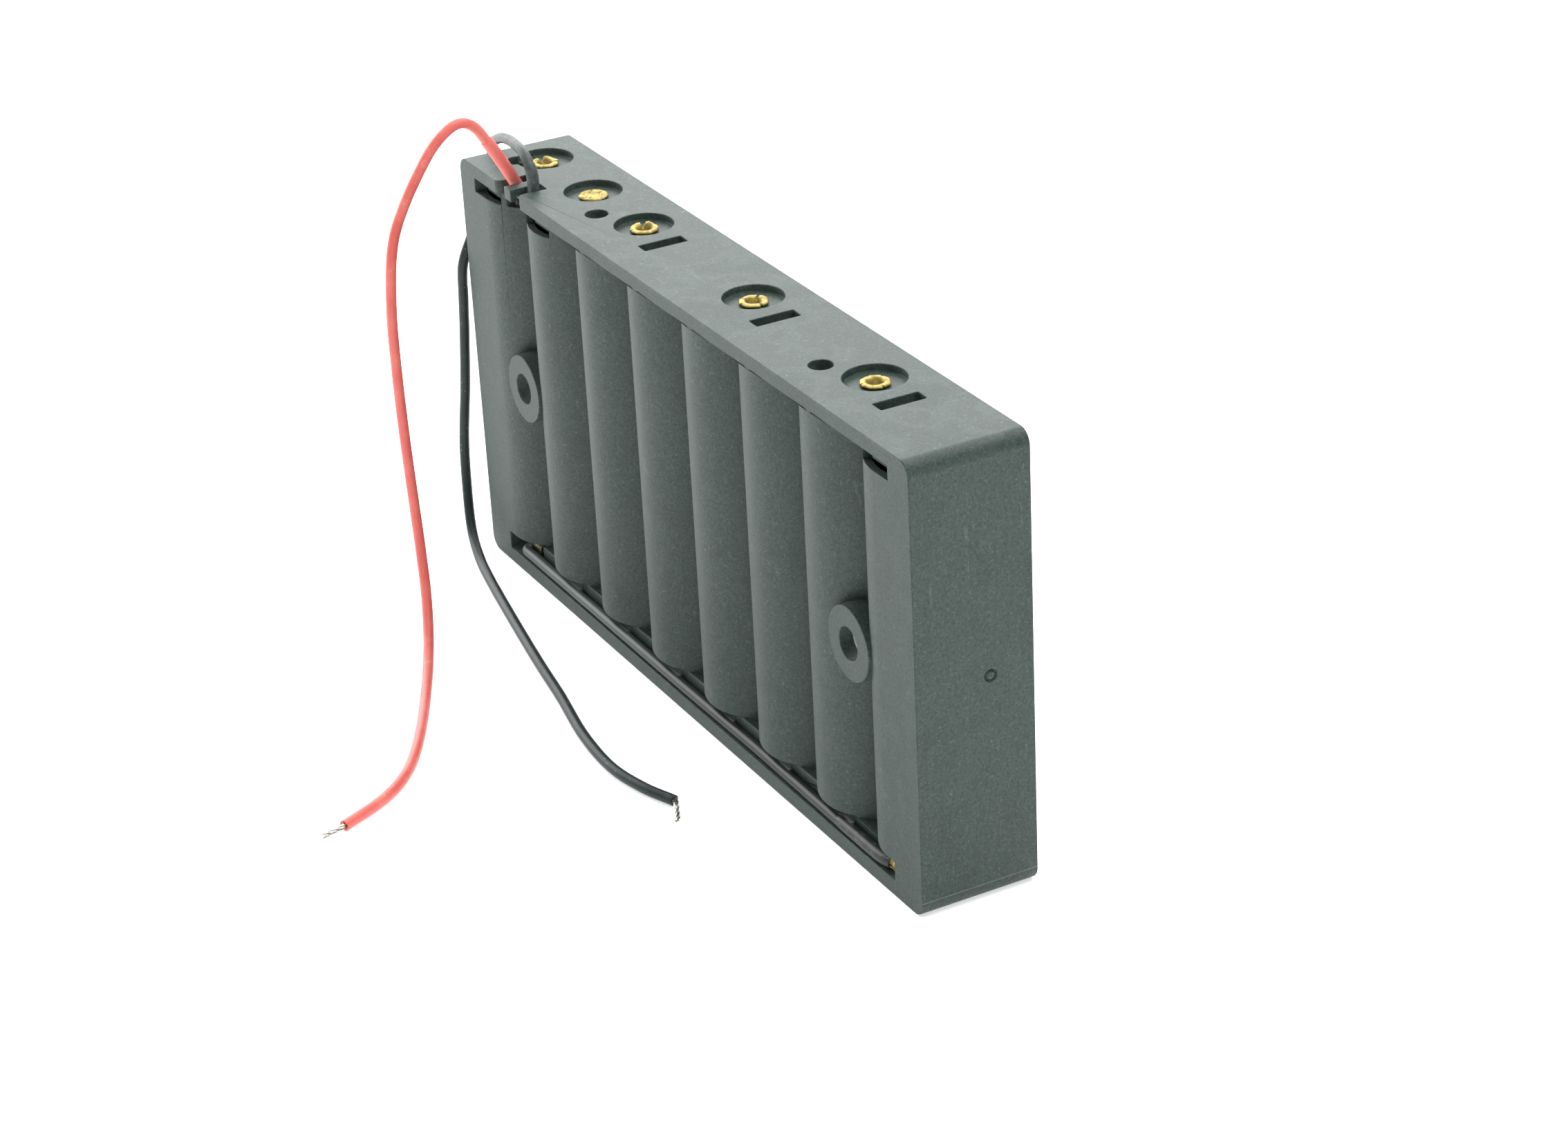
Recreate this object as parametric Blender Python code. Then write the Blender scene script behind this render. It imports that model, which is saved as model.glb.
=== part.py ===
"""Holder for eight AA cells side by side, with riveted contacts, springs, a jumper wire and two leads.

Frame: X runs along the row of bays, Y from the scalloped back (-Y) to the open front (+Y), Z up along
the cells. The origin is at the middle of the resting face. Lengths are in metres.
"""
import math

import bmesh
import bpy
from mathutils import Vector

# ---- driving dimensions ---------------------------------------------------------------------------
BAYS = 8
CELL_DIAMETER = 0.0145
CELL_CLEARANCE = 0.0002        # all round, between a cell and its bay
PITCH = 0.0156                 # bay axis to bay axis
END_WALL = 0.00105             # beside the first and the last bay
BACK_WALL = 0.0012             # behind each cell
DEPTH = 0.0168
HEIGHT = 0.062
TOP_WALL = 0.0020
BOTTOM_WALL = 0.0022
OUTER_CORNER = 0.0020          # radius of the four corners of the long outline
PARTITION_REACH = 0.0105       # from the back face to the partitions' front edges
GAP = 0.0003                   # between pieces that touch on the real holder
CUT_PAST = 0.002               # how far a cutter runs past the face that it opens

CHANNEL_TOP = 0.0049           # wire channel under the columns
CHANNEL_DEPTH = 0.0018
CHANNEL_END = 0.0067           # from the end wall's outside
CRIMP_BED_REACH = 0.0058       # from the first bay's axis
CRIMP_BED_DEPTH = 0.0037

BOSS_RADIUS = 0.0050
BOSS_HEIGHT = 0.0314           # of the screw axis above the resting face
BOSS_SEAT = 0.0022
BOSS_LENGTH = 0.0054
SCREW_RADIUS = 0.00225
SCREW_HEAD_RADIUS = 0.0040
SCREW_POCKET_RADIUS = 0.0042

WINDOW_HEIGHT = 0.0020         # light windows under the top wall
WINDOW_HALF = 0.0035
WINDOW_DEPTH = 0.0020
TOP_WINDOW_BAYS = (1, 2, 8)

NOTCH_HALF = 0.00325           # wire notch over the wall between the first two bays
NOTCH_DEPTH = 0.0046
NOTCH_LIP = 0.0010             # radius of the notch's outer corners
HOOK_HALF = 0.00105
HOOK_THICK = 0.0010
HOOK_DROP = 0.0018

RECESS_RADIUS = 0.0041
RECESS_DEPTH = 0.0010
RIVET_INSET = 0.0096           # from the back face to the rivets' axes
RIVET_RIM_RADIUS = 0.00205
RIVET_RIM_HEIGHT = 0.00055
RIVET_SHANK_RADIUS = 0.0012
RIVET_BORE_RADIUS = 0.0008
RIVET_BORE_DEPTH = 0.0008      # under the rim
RIVET_HEAD_RADIUS = 0.0026
RIVET_HEAD_HEIGHT = 0.0009
TOP_RIVET_BAYS = (1, 2, 3, 5, 7)
BOTTOM_RIVET_BAYS = (1, 2, 4, 6, 8)

SLOT_SIDE = 0.00065            # from a partition's face to its slot's edge
SLOT_LENGTH = 0.0064
SLOT_INSET = 0.0085
TOP_BRIDGES = (3, 5, 7)        # each joins this bay to the next
BOTTOM_BRIDGES = (2, 4, 6)
SIGHT_HOLE_RADIUS = 0.0016
SIGHT_HOLE_INSET = 0.0060
SIGHT_HOLES = (-0.0562, -0.0306, 0.0319)

PLATE_THICK = 0.0003
PLATE_HALF = 0.0050
PLATE_BACK = 0.0037            # from the back face to a plate's rear edge
PLATE_FRONT = 0.0140
BRIDGE_HALF = 0.0029

SPRING_WIRE = 0.0003           # radius of the spring wire
SPRING_BASE = 0.0057           # coil radius at the plate
SPRING_TIP = 0.0032
SPRING_RISE = 0.0082           # between the middle of the first and of the last turn
SPRING_TURNS = 4.5
SPRING_STEPS = 12              # mesh steps in one turn
BOTTOM_SPRING_BAYS = (1, 3, 5, 7)
TOP_SPRING_BAYS = (2, 4, 6, 8)

WIRE_RADIUS = 0.00075
RED_SLEEVE_RADIUS = 0.00090
BLACK_SLEEVE_RADIUS = 0.00086
RED_SLEEVE_LENGTH = 0.0095
BLACK_SLEEVE_LENGTH = 0.0050
STRAND_RADIUS = 0.00038
JUMPER_SLEEVE_RADIUS = 0.00085
CRIMP_RADIUS = 0.00085
CRIMP_LENGTH = 0.0020
LEAD_CRIMP_LENGTH = 0.0016

# ---- sizes that follow ----------------------------------------------------------------------------
BAY_RADIUS = CELL_DIAMETER / 2 + CELL_CLEARANCE / 2
SHELL_RADIUS = BAY_RADIUS + BACK_WALL
WIDTH = (BAYS - 1) * PITCH + 2 * (BAY_RADIUS + END_WALL)
BACK = -DEPTH / 2
FRONT = DEPTH / 2
CELL_AXIS = BACK + SHELL_RADIUS
CEILING = HEIGHT - TOP_WALL
FLOOR = BOTTOM_WALL
RIVET_AXIS = BACK + RIVET_INSET
SLOT_WIDTH = PITCH - 2 * BAY_RADIUS + 2 * SLOT_SIDE


def bay_x(bay):
    """X of a bay's axis; bays count from 1 at the notched end."""
    return (bay - (BAYS + 1) / 2) * PITCH


def wall_x(bay):
    """X of the middle of the partition between a bay and the next."""
    return bay_x(bay) + PITCH / 2


NOTCH_X = wall_x(1)

# Routes of the two free leads, chosen by hand. Each rises from the notch, with places measured from the
# notch's middle at the back face and the top, and then falls to the floor. There X is measured from the
# notch for the red lead and from the holder's end for the black one, Y from the back face, and Z is a
# share of the holder's height.
RED_RISE = (
    (-0.0021, 0.0029, -0.0016), (-0.0022, 0.0022, 0.0), (-0.0022, 0.0007, 0.0029),
    (-0.0022, -0.0015, 0.0067), (-0.0022, -0.0032, 0.0093), (-0.0021, -0.0053, 0.0104),
    (-0.0019, -0.0078, 0.0094), (-0.0015, -0.0108, 0.0066), (-0.0009, -0.0152, 0.0004),
)
RED_FALL = (
    (-0.0002, -0.0178, 0.916), (0.0008, -0.0192, 0.776), (0.0018, -0.0197, 0.631),
    (0.0028, -0.0199, 0.482), (0.0043, -0.0201, 0.334), (0.0061, -0.0205, 0.226),
    (0.0093, -0.0216, 0.134), (0.0143, -0.0239, 0.061), (0.0216, -0.0277, 0.018),
    (0.0334, -0.0340, 0.0132), (0.0414, -0.0393, 0.0132), (0.0464, -0.0449, 0.0132),
    (0.0500, -0.0520, 0.0132),
)
RED_END = (0.0505, -0.0554, 0.008)
BLACK_RISE = (
    (0.0021, 0.0031, -0.0016), (0.0022, 0.0031, 0.0005), (0.0018, 0.0032, 0.0022),
    (0.0005, 0.0033, 0.0034), (-0.0015, 0.0035, 0.0042), (-0.0042, 0.0038, 0.0043),
    (-0.0076, 0.0042, 0.0040),
)
BLACK_FALL = (
    (0.0050, 0.0047, 1.050), (0.0018, 0.0052, 1.029), (-0.0003, 0.0056, 1.011),
    (-0.0012, 0.0055, 0.971), (-0.0013, 0.0047, 0.919), (-0.0014, 0.0032, 0.847),
    (-0.0014, 0.0014, 0.787), (-0.0017, -0.0002, 0.719), (-0.0024, -0.0003, 0.631),
    (-0.0032, -0.0003, 0.539), (-0.0041, -0.0006, 0.398), (-0.0049, -0.0012, 0.256),
    (-0.0036, -0.0020, 0.145), (-0.0004, -0.0032, 0.056), (0.0050, -0.0046, 0.021),
    (0.0125, -0.0062, 0.0145), (0.0276, -0.0091, 0.0132), (0.0404, -0.0114, 0.0132),
    (0.0502, -0.0130, 0.0132), (0.0620, -0.0152, 0.0132), (0.0717, -0.0159, 0.0132),
    (0.0788, -0.0148, 0.0132), (0.0842, -0.0129, 0.0132),
)
BLACK_END = (0.0888, -0.0148, 0.008)


# ---- materials ------------------------------------------------------------------------------------
def make_material(name, colour, roughness, metallic=0.0):
    material = bpy.data.materials.new(name)
    material.use_nodes = True
    shader = material.node_tree.nodes["Principled BSDF"]
    shader.inputs["Base Color"].default_value = (*colour, 1.0)
    shader.inputs["Roughness"].default_value = roughness
    shader.inputs["Metallic"].default_value = metallic
    return material


# ---- mesh tools -----------------------------------------------------------------------------------
def clear_scene():
    for item in list(bpy.data.objects):
        bpy.data.objects.remove(item, do_unlink=True)


def add_prism(bm, outline, low, high, axis="z"):
    """A closed prism of an outline in XY drawn along Z, or in XZ drawn along Y."""
    def corner(point, level):
        if axis == "z":
            return (point[0], point[1], level)
        return (point[0], level, point[1])

    count = len(outline)
    start = [bm.verts.new(corner(point, low)) for point in outline]
    end = [bm.verts.new(corner(point, high)) for point in outline]
    faces = [bm.faces.new(start), bm.faces.new(end[::-1])]
    for i in range(count):
        j = (i + 1) % count
        faces.append(bm.faces.new((start[j], start[i], end[i], end[j])))
    bmesh.ops.recalc_face_normals(bm, faces=faces)


def add_box(bm, low, high):
    outline = ((low[0], low[1]), (high[0], low[1]), (high[0], high[1]), (low[0], high[1]))
    add_prism(bm, outline, low[2], high[2])


def add_turned(bm, profile, centre, axis="z", steps=20):
    """A closed turned solid. The profile is (radius, height) pairs that start and end on the axis."""
    def place(radius, angle, height):
        across = radius * math.cos(angle)
        along = radius * math.sin(angle)
        if axis == "z":
            return Vector(centre) + Vector((across, along, height))
        if axis == "x":
            return Vector(centre) + Vector((height, across, along))
        return Vector(centre) + Vector((across, height, along))

    rings = []
    for radius, height in profile:
        if radius == 0:
            rings.append([bm.verts.new(place(0, 0, height))])
        else:
            turn = [2 * math.pi * step / steps for step in range(steps)]
            rings.append([bm.verts.new(place(radius, angle, height)) for angle in turn])
    faces = []
    for lower, upper in zip(rings, rings[1:]):
        for i in range(steps):
            j = (i + 1) % steps
            around = []
            for vert in (lower[i % len(lower)], lower[j % len(lower)],
                         upper[j % len(upper)], upper[i % len(upper)]):
                if vert not in around:
                    around.append(vert)
            faces.append(bm.faces.new(around))
    bmesh.ops.recalc_face_normals(bm, faces=faces)


def add_rod(bm, radius, centre, low, high, axis="z", steps=20):
    add_turned(bm, ((0, low), (radius, low), (radius, high), (0, high)), centre, axis, steps)


def finish(bm, name, material, origin=(0, 0, 0), smooth=True):
    """Turn a mesh that was built in world places into an object with its origin where it is asked."""
    bmesh.ops.translate(bm, verts=bm.verts, vec=-Vector(origin))
    mesh = bpy.data.meshes.new(name)
    bm.to_mesh(mesh)
    bm.free()
    item = bpy.data.objects.new(name, mesh)
    item.location = origin
    bpy.context.scene.collection.objects.link(item)
    if material:
        mesh.materials.append(material)
    if smooth:
        mesh.shade_smooth()
        mesh.set_sharp_from_angle(angle=math.radians(35))
    return item


def as_cutter(bm, name):
    cutter = finish(bm, name, None, smooth=False)
    cutter.hide_render = True
    cutter.display_type = "WIRE"
    return cutter


def combine(item, other, operation):
    step = item.modifiers.new(other.name, "BOOLEAN")
    step.operation = operation
    step.solver = "EXACT"
    step.object = other


# ---- outlines -------------------------------------------------------------------------------------
def arc(centre, radius, start, end, steps):
    """Points of an arc between two angles in degrees, both ends included."""
    points = []
    for step in range(steps + 1):
        angle = math.radians(start + (end - start) * step / steps)
        points.append((centre[0] + radius * math.cos(angle), centre[1] + radius * math.sin(angle)))
    return points


def long_outline():
    """The holder's outline in XZ, with four round corners."""
    side = WIDTH / 2 - OUTER_CORNER
    low = OUTER_CORNER
    high = HEIGHT - OUTER_CORNER
    points = []
    for centre, start in (((side, low), -90), ((side, high), 0), ((-side, high), 90), ((-side, low), 180)):
        points += arc(centre, OUTER_CORNER, start, start + 90, 6)
    return points


def valley_outline():
    """What the scalloped back leaves free, from the first column's crest to the last one's."""
    spread = math.degrees(math.asin(min(1, PITCH / 2 / SHELL_RADIUS)))
    points = [(bay_x(BAYS), BACK - CUT_PAST), (bay_x(1), BACK - CUT_PAST)]
    for bay in range(1, BAYS + 1):
        start = -90 if bay == 1 else -90 - spread
        end = -90 if bay == BAYS else -90 + spread
        steps = 7 if bay in (1, BAYS) else 14
        curve = arc((bay_x(bay), CELL_AXIS), SHELL_RADIUS, start, end, steps)
        points += curve if bay == 1 else curve[1:]
    return points


def bay_outline(bay):
    """A half round bed for the cell, open to the front."""
    bed = arc((bay_x(bay), CELL_AXIS), BAY_RADIUS, 180, 360, 16)
    return bed + [(bay_x(bay) + BAY_RADIUS, FRONT + CUT_PAST), (bay_x(bay) - BAY_RADIUS, FRONT + CUT_PAST)]


def notch_outline():
    """The wire notch, with its outer corners rounded."""
    inner = BACK + NOTCH_DEPTH
    lip = NOTCH_LIP
    right = arc((NOTCH_X + NOTCH_HALF + lip, BACK + lip), lip, 180, 270, 5)
    left = arc((NOTCH_X - NOTCH_HALF - lip, BACK + lip), lip, 270, 360, 5)
    outside = [(NOTCH_X - NOTCH_HALF - lip, BACK - CUT_PAST), (NOTCH_X + NOTCH_HALF + lip, BACK - CUT_PAST)]
    back_edge = [(NOTCH_X + NOTCH_HALF, inner), (NOTCH_X - NOTCH_HALF, inner)]
    return outside + right[::-1] + back_edge + left[::-1]


# ---- the moulded tray -----------------------------------------------------------------------------
def rivet_place(bay, top):
    """Axis and outer face of a rivet's recess, and which way is outwards."""
    height = HEIGHT if top else 0.0
    return (bay_x(bay), RIVET_AXIS, height), 1 if top else -1


def rivet_cutter():
    """Stepped holes for the ten rivets: recess, wall hole and plate hole in one."""
    bm = bmesh.new()
    hole = RIVET_SHANK_RADIUS + GAP
    reach = TOP_WALL + GAP + PLATE_THICK + CUT_PAST
    for bays, top in ((TOP_RIVET_BAYS, True), (BOTTOM_RIVET_BAYS, False)):
        for bay in bays:
            centre, out = rivet_place(bay, top)
            profile = ((0, CUT_PAST), (RECESS_RADIUS, CUT_PAST), (RECESS_RADIUS, -RECESS_DEPTH),
                       (hole, -RECESS_DEPTH), (hole, -reach), (0, -reach))
            add_turned(bm, [(radius, height * out) for radius, height in profile], centre, steps=24)
    return as_cutter(bm, "rivet_cutter")


def tray_cutters():
    """Everything that opens the block, in the order in which it is cut."""
    cutters = []
    bm = bmesh.new()
    for bay in range(1, BAYS + 1):
        add_prism(bm, bay_outline(bay), FLOOR, CEILING)
    cutters.append(as_cutter(bm, "bay_cutter"))

    bm = bmesh.new()
    inside = bay_x(BAYS) + BAY_RADIUS
    add_box(bm, (-inside, BACK + PARTITION_REACH, FLOOR), (inside, FRONT + CUT_PAST, CEILING))
    channel = WIDTH / 2 - CHANNEL_END
    add_box(bm, (-channel, BACK - CUT_PAST, FLOOR), (channel, BACK + CHANNEL_DEPTH, CHANNEL_TOP))
    cutters.append(as_cutter(bm, "channel_cutter"))

    bm = bmesh.new()
    for bay in TOP_WINDOW_BAYS:
        x = bay_x(bay)
        low = CEILING - WINDOW_HEIGHT
        add_box(bm, (x - WINDOW_HALF, BACK - CUT_PAST, low), (x + WINDOW_HALF, BACK + WINDOW_DEPTH, CEILING))
    crimp_bed = (bay_x(1) + CRIMP_BED_REACH, BACK + CRIMP_BED_DEPTH, CHANNEL_TOP)
    add_box(bm, (-channel, BACK - CUT_PAST, FLOOR), crimp_bed)
    cutters.append(as_cutter(bm, "window_cutter"))

    bm = bmesh.new()
    add_prism(bm, notch_outline(), CEILING - 0.0005, HEIGHT + CUT_PAST)
    cutters.append(as_cutter(bm, "notch_cutter"))

    bm = bmesh.new()
    low = CEILING - WINDOW_HEIGHT
    half = NOTCH_HALF + 0.0001
    high = CEILING - 0.0001
    add_box(bm, (NOTCH_X - half, BACK - CUT_PAST, low), (NOTCH_X + half, BACK + NOTCH_DEPTH, high))
    for x in SIGHT_HOLES:
        add_rod(bm, SIGHT_HOLE_RADIUS, (x, BACK + SIGHT_HOLE_INSET, 0), low, HEIGHT + CUT_PAST)
    cutters.append(as_cutter(bm, "sight_hole_cutter"))

    bm = bmesh.new()
    for bays, outer, inner in ((TOP_BRIDGES, HEIGHT + CUT_PAST, CEILING - WINDOW_HEIGHT / 2),
                               (BOTTOM_BRIDGES, -CUT_PAST, FLOOR + WINDOW_HEIGHT / 2)):
        for bay in bays:
            x = wall_x(bay)
            y = BACK + SLOT_INSET
            add_box(bm, (x - SLOT_WIDTH / 2, y - SLOT_LENGTH / 2, min(outer, inner)),
                    (x + SLOT_WIDTH / 2, y + SLOT_LENGTH / 2, max(outer, inner)))
    cutters.append(as_cutter(bm, "slot_cutter"))

    bm = bmesh.new()
    for x in (wall_x(1), wall_x(BAYS - 1)):
        profile = ((0, -CUT_PAST), (SCREW_RADIUS, -CUT_PAST), (SCREW_RADIUS, 0.00045),
                   (SCREW_HEAD_RADIUS, BOSS_SEAT), (SCREW_POCKET_RADIUS, BOSS_SEAT),
                   (SCREW_POCKET_RADIUS, DEPTH), (0, DEPTH))
        add_turned(bm, profile, (x, BACK, BOSS_HEIGHT), axis="y", steps=24)
    cutters.append(as_cutter(bm, "screw_cutter"))
    return cutters


def make_tray(material, rivets):
    bm = bmesh.new()
    add_prism(bm, long_outline(), BACK, FRONT, axis="y")
    tray = finish(bm, "tray", material)

    bm = bmesh.new()
    add_prism(bm, valley_outline(), CHANNEL_TOP, CEILING)
    combine(tray, as_cutter(bm, "valley_cutter"), "DIFFERENCE")

    bm = bmesh.new()
    for x in (wall_x(1), wall_x(BAYS - 1)):
        add_rod(bm, BOSS_RADIUS, (x, BACK, BOSS_HEIGHT), 0, BOSS_LENGTH, axis="y", steps=32)
    combine(tray, as_cutter(bm, "boss_guide"), "UNION")

    for cutter in tray_cutters():
        combine(tray, cutter, "DIFFERENCE")
    combine(tray, rivets, "DIFFERENCE")

    bm = bmesh.new()
    reach = BACK + NOTCH_DEPTH + HOOK_THICK
    lip = BACK + HOOK_THICK
    under = HEIGHT - HOOK_THICK
    outline = ((BACK, HEIGHT - HOOK_DROP), (lip, HEIGHT - HOOK_DROP), (lip, under), (reach, under),
               (reach, HEIGHT), (BACK, HEIGHT))
    low, high = NOTCH_X - HOOK_HALF, NOTCH_X + HOOK_HALF
    corners = [[bm.verts.new((x, y, z)) for y, z in outline] for x in (low, high)]
    faces = [bm.faces.new(corners[0]), bm.faces.new(corners[1][::-1])]
    for i in range(len(outline)):
        j = (i + 1) % len(outline)
        faces.append(bm.faces.new((corners[0][j], corners[0][i], corners[1][i], corners[1][j])))
    bmesh.ops.recalc_face_normals(bm, faces=faces)
    combine(tray, as_cutter(bm, "hook_guide"), "UNION")
    return tray


# ---- contacts -------------------------------------------------------------------------------------
def pad_outline(bay):
    """One contact pad, its rear corners cut off to clear the round bed."""
    x = bay_x(bay)
    corner = 0.0012
    back, front = BACK + PLATE_BACK, BACK + PLATE_FRONT
    return [(x - PLATE_HALF, front), (x - PLATE_HALF, back + corner), (x - PLATE_HALF + corner, back),
            (x + PLATE_HALF - corner, back), (x + PLATE_HALF, back + corner), (x + PLATE_HALF, front)]


def bridge_outline(bay):
    """Two pads joined by a strap that crosses the partition inside its slot."""
    middle = BACK + SLOT_INSET
    left, right = pad_outline(bay), pad_outline(bay + 1)
    low = [(left[4][0], middle - BRIDGE_HALF), (right[1][0], middle - BRIDGE_HALF)]
    high = [(right[1][0], middle + BRIDGE_HALF), (left[4][0], middle + BRIDGE_HALF)]
    return left[:5] + low + right[1:] + [right[0]] + high + [left[5]]


def make_plate(name, outline, top, material, rivets):
    low = CEILING - GAP - PLATE_THICK if top else FLOOR + GAP
    bm = bmesh.new()
    add_prism(bm, outline, low, low + PLATE_THICK)
    plate = finish(bm, name, material, smooth=False)
    combine(plate, rivets, "DIFFERENCE")


def make_rivet(name, bay, top, material):
    """An eyelet: rolled rim in the recess, shank through wall and plate, domed head inside the bay."""
    centre, out = rivet_place(bay, top)
    wall = TOP_WALL if top else BOTTOM_WALL
    seat = -RECESS_DEPTH + GAP
    head = -wall - GAP - PLATE_THICK - GAP
    rim = seat + RIVET_RIM_HEIGHT
    profile = ((0, seat - RIVET_BORE_DEPTH), (RIVET_BORE_RADIUS, seat - RIVET_BORE_DEPTH),
               (RIVET_BORE_RADIUS, rim), (0.8 * RIVET_RIM_RADIUS, rim),
               (RIVET_RIM_RADIUS, seat + 0.6 * RIVET_RIM_HEIGHT), (RIVET_RIM_RADIUS, seat),
               (RIVET_SHANK_RADIUS, seat), (RIVET_SHANK_RADIUS, head), (RIVET_HEAD_RADIUS, head),
               (RIVET_HEAD_RADIUS, head - RIVET_HEAD_HEIGHT / 3),
               (0.6 * RIVET_HEAD_RADIUS, head - RIVET_HEAD_HEIGHT), (0, head - RIVET_HEAD_HEIGHT))
    bm = bmesh.new()
    add_turned(bm, [(radius, height * out) for radius, height in profile], centre, steps=12)
    finish(bm, name, material)


def make_coil(name, bay, top, first, last, material):
    """Part of a conical contact spring, from one turn to another, as a tube with flat ends."""
    out = -1 if top else 1
    seat = CEILING - GAP - PLATE_THICK if top else FLOOR + GAP + PLATE_THICK
    base = seat + out * (GAP + SPRING_WIRE)
    steps = round((last - first) * SPRING_STEPS)
    sides = 6
    bm = bmesh.new()
    rings = []
    for step in range(steps + 1):
        turn = first + (last - first) * step / steps
        share = turn / SPRING_TURNS
        radius = SPRING_BASE + (SPRING_TIP - SPRING_BASE) * share
        height = base + out * SPRING_RISE * (1 - math.cos(math.pi * share)) / 2
        angle = 2 * math.pi * turn
        ring = []
        for side in range(sides):
            around = 2 * math.pi * side / sides
            reach = radius + SPRING_WIRE * math.cos(around)
            across = bay_x(bay) + reach * math.cos(angle)
            along = CELL_AXIS + reach * math.sin(angle)
            ring.append(bm.verts.new((across, along, height + SPRING_WIRE * math.sin(around))))
        rings.append(ring)
    faces = [bm.faces.new(rings[0]), bm.faces.new(rings[-1][::-1])]
    for lower, upper in zip(rings, rings[1:]):
        for i in range(sides):
            j = (i + 1) % sides
            faces.append(bm.faces.new((lower[j], lower[i], upper[i], upper[j])))
    bmesh.ops.recalc_face_normals(bm, faces=faces)
    finish(bm, name, material, origin=(bay_x(bay), CELL_AXIS, base))


# ---- wires ----------------------------------------------------------------------------------------
def fall_place(point, start):
    """A place on a lead's way down, from its stated offsets and share of the height."""
    return (start + point[0], BACK + point[1], HEIGHT * point[2])


def lead_route(rise, fall, start):
    """A lead's route from the notch to its insulation's end. The fall's X is measured from start."""
    route = [(NOTCH_X + x, BACK + y, HEIGHT + z) for x, y, z in rise]
    return route + [fall_place(point, start) for point in fall]


def smooth_route(points, spacing):
    """Evenly spaced points on the smooth curve through a route's points."""
    places = [Vector(point) for point in points]
    places = [2 * places[0] - places[1]] + places + [2 * places[-1] - places[-2]]
    fine = []
    for before, start, end, after in zip(places, places[1:], places[2:], places[3:]):
        for step in range(24):
            t = step / 24
            bend = 2 * before - 5 * start + 4 * end - after
            twist = 3 * start - before - 3 * end + after
            fine.append((2 * start + (end - before) * t + bend * t * t + twist * t * t * t) / 2)
    fine.append(places[-2])
    reach = [0.0]
    for here, there in zip(fine, fine[1:]):
        reach.append(reach[-1] + (there - here).length)
    count = max(2, round(reach[-1] / spacing))
    even = []
    index = 0
    for step in range(count + 1):
        target = reach[-1] * step / count
        while index < len(fine) - 2 and reach[index + 1] < target:
            index += 1
        share = (target - reach[index]) / (reach[index + 1] - reach[index])
        even.append(fine[index].lerp(fine[index + 1], share))
    return even


def cut_route(points, start, end):
    """The stretch of a route between two distances from its beginning."""
    piece = []
    done = 0.0
    for here, there in zip(points, points[1:]):
        length = (there - here).length
        if done <= start < done + length:
            piece.append(here.lerp(there, (start - done) / length))
        if start < done + length < end:
            piece.append(there)
        if done < end <= done + length:
            piece.append(here.lerp(there, (end - done) / length))
        done += length
    return piece


def route_length(points):
    return sum((there - here).length for here, there in zip(points, points[1:]))


def make_tube(name, points, radius, material):
    curve = bpy.data.curves.new(name, "CURVE")
    curve.dimensions = "3D"
    curve.bevel_depth = radius
    curve.bevel_resolution = 2
    curve.use_fill_caps = True
    spline = curve.splines.new("POLY")
    spline.points.add(len(points) - 1)
    for knot, place in zip(spline.points, points):
        knot.co = (*place, 1.0)
    curve.materials.append(material)
    tube = bpy.data.objects.new(name, curve)
    bpy.context.scene.collection.objects.link(tube)


def make_lead(name, route, end, sleeve_radius, sleeve_length, plastic, metal):
    """A free lead: sleeve at the notch, insulated wire, bare end."""
    path = smooth_route(route, 3 * WIRE_RADIUS)
    length = route_length(path)
    make_tube(name + "_sleeve", cut_route(path, 0.0, sleeve_length), sleeve_radius, plastic)
    make_tube(name, cut_route(path, sleeve_length + GAP, length), WIRE_RADIUS, plastic)
    direction = (path[-1] - path[-2]).normalized()
    bare = smooth_route((path[-1] + direction * GAP, path[-1] + direction * 2 * GAP, end), 0.001)
    make_tube(name + "_bare_end", bare, STRAND_RADIUS, metal)


def make_crimp(name, centre, length, axis, material):
    bm = bmesh.new()
    add_rod(bm, CRIMP_RADIUS, centre, -length / 2, length / 2, axis, steps=12)
    finish(bm, name, material)


def make_jumper(black, brass):
    """The wire that joins the outermost bays: from a U-turn at the first, along the channel, to the last."""
    lane = BACK + WIRE_RADIUS + 0.0001
    height = FLOOR + GAP + WIRE_RADIUS
    crimp = (bay_x(1) + 0.0038, BACK + 0.0025, height + 0.0006)
    bend = (crimp[1] - lane) / 2
    turn = bay_x(1) + 0.0009 + bend
    sleeve_start = bay_x(BAYS) - 0.0136
    path = [(crimp[0] - CRIMP_LENGTH / 2 - GAP, crimp[1], crimp[2])]
    for step, (x, y) in enumerate(arc((turn, lane + bend), bend, 90, 270, 8)):
        path.append((x, y, crimp[2] + (height - crimp[2]) * step / 8))
    path.append((sleeve_start - GAP, lane, height))
    make_tube("jumper_wire", path, WIRE_RADIUS, black)
    make_crimp("jumper_crimp_1", crimp, CRIMP_LENGTH, "x", brass)

    crimp = (bay_x(BAYS) - 0.0003, BACK + 0.0013, FLOOR + GAP + CRIMP_RADIUS)
    lane = BACK + JUMPER_SLEEVE_RADIUS
    height = FLOOR + GAP + JUMPER_SLEEVE_RADIUS
    end = crimp[0] - CRIMP_LENGTH / 2 - GAP
    route = ((sleeve_start, lane, height), (end - 0.003, lane, height), (end, crimp[1], height))
    make_tube("jumper_sleeve", smooth_route(route, 3 * WIRE_RADIUS), JUMPER_SLEEVE_RADIUS, black)
    make_crimp("jumper_crimp_8", crimp, CRIMP_LENGTH, "x", brass)


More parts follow.
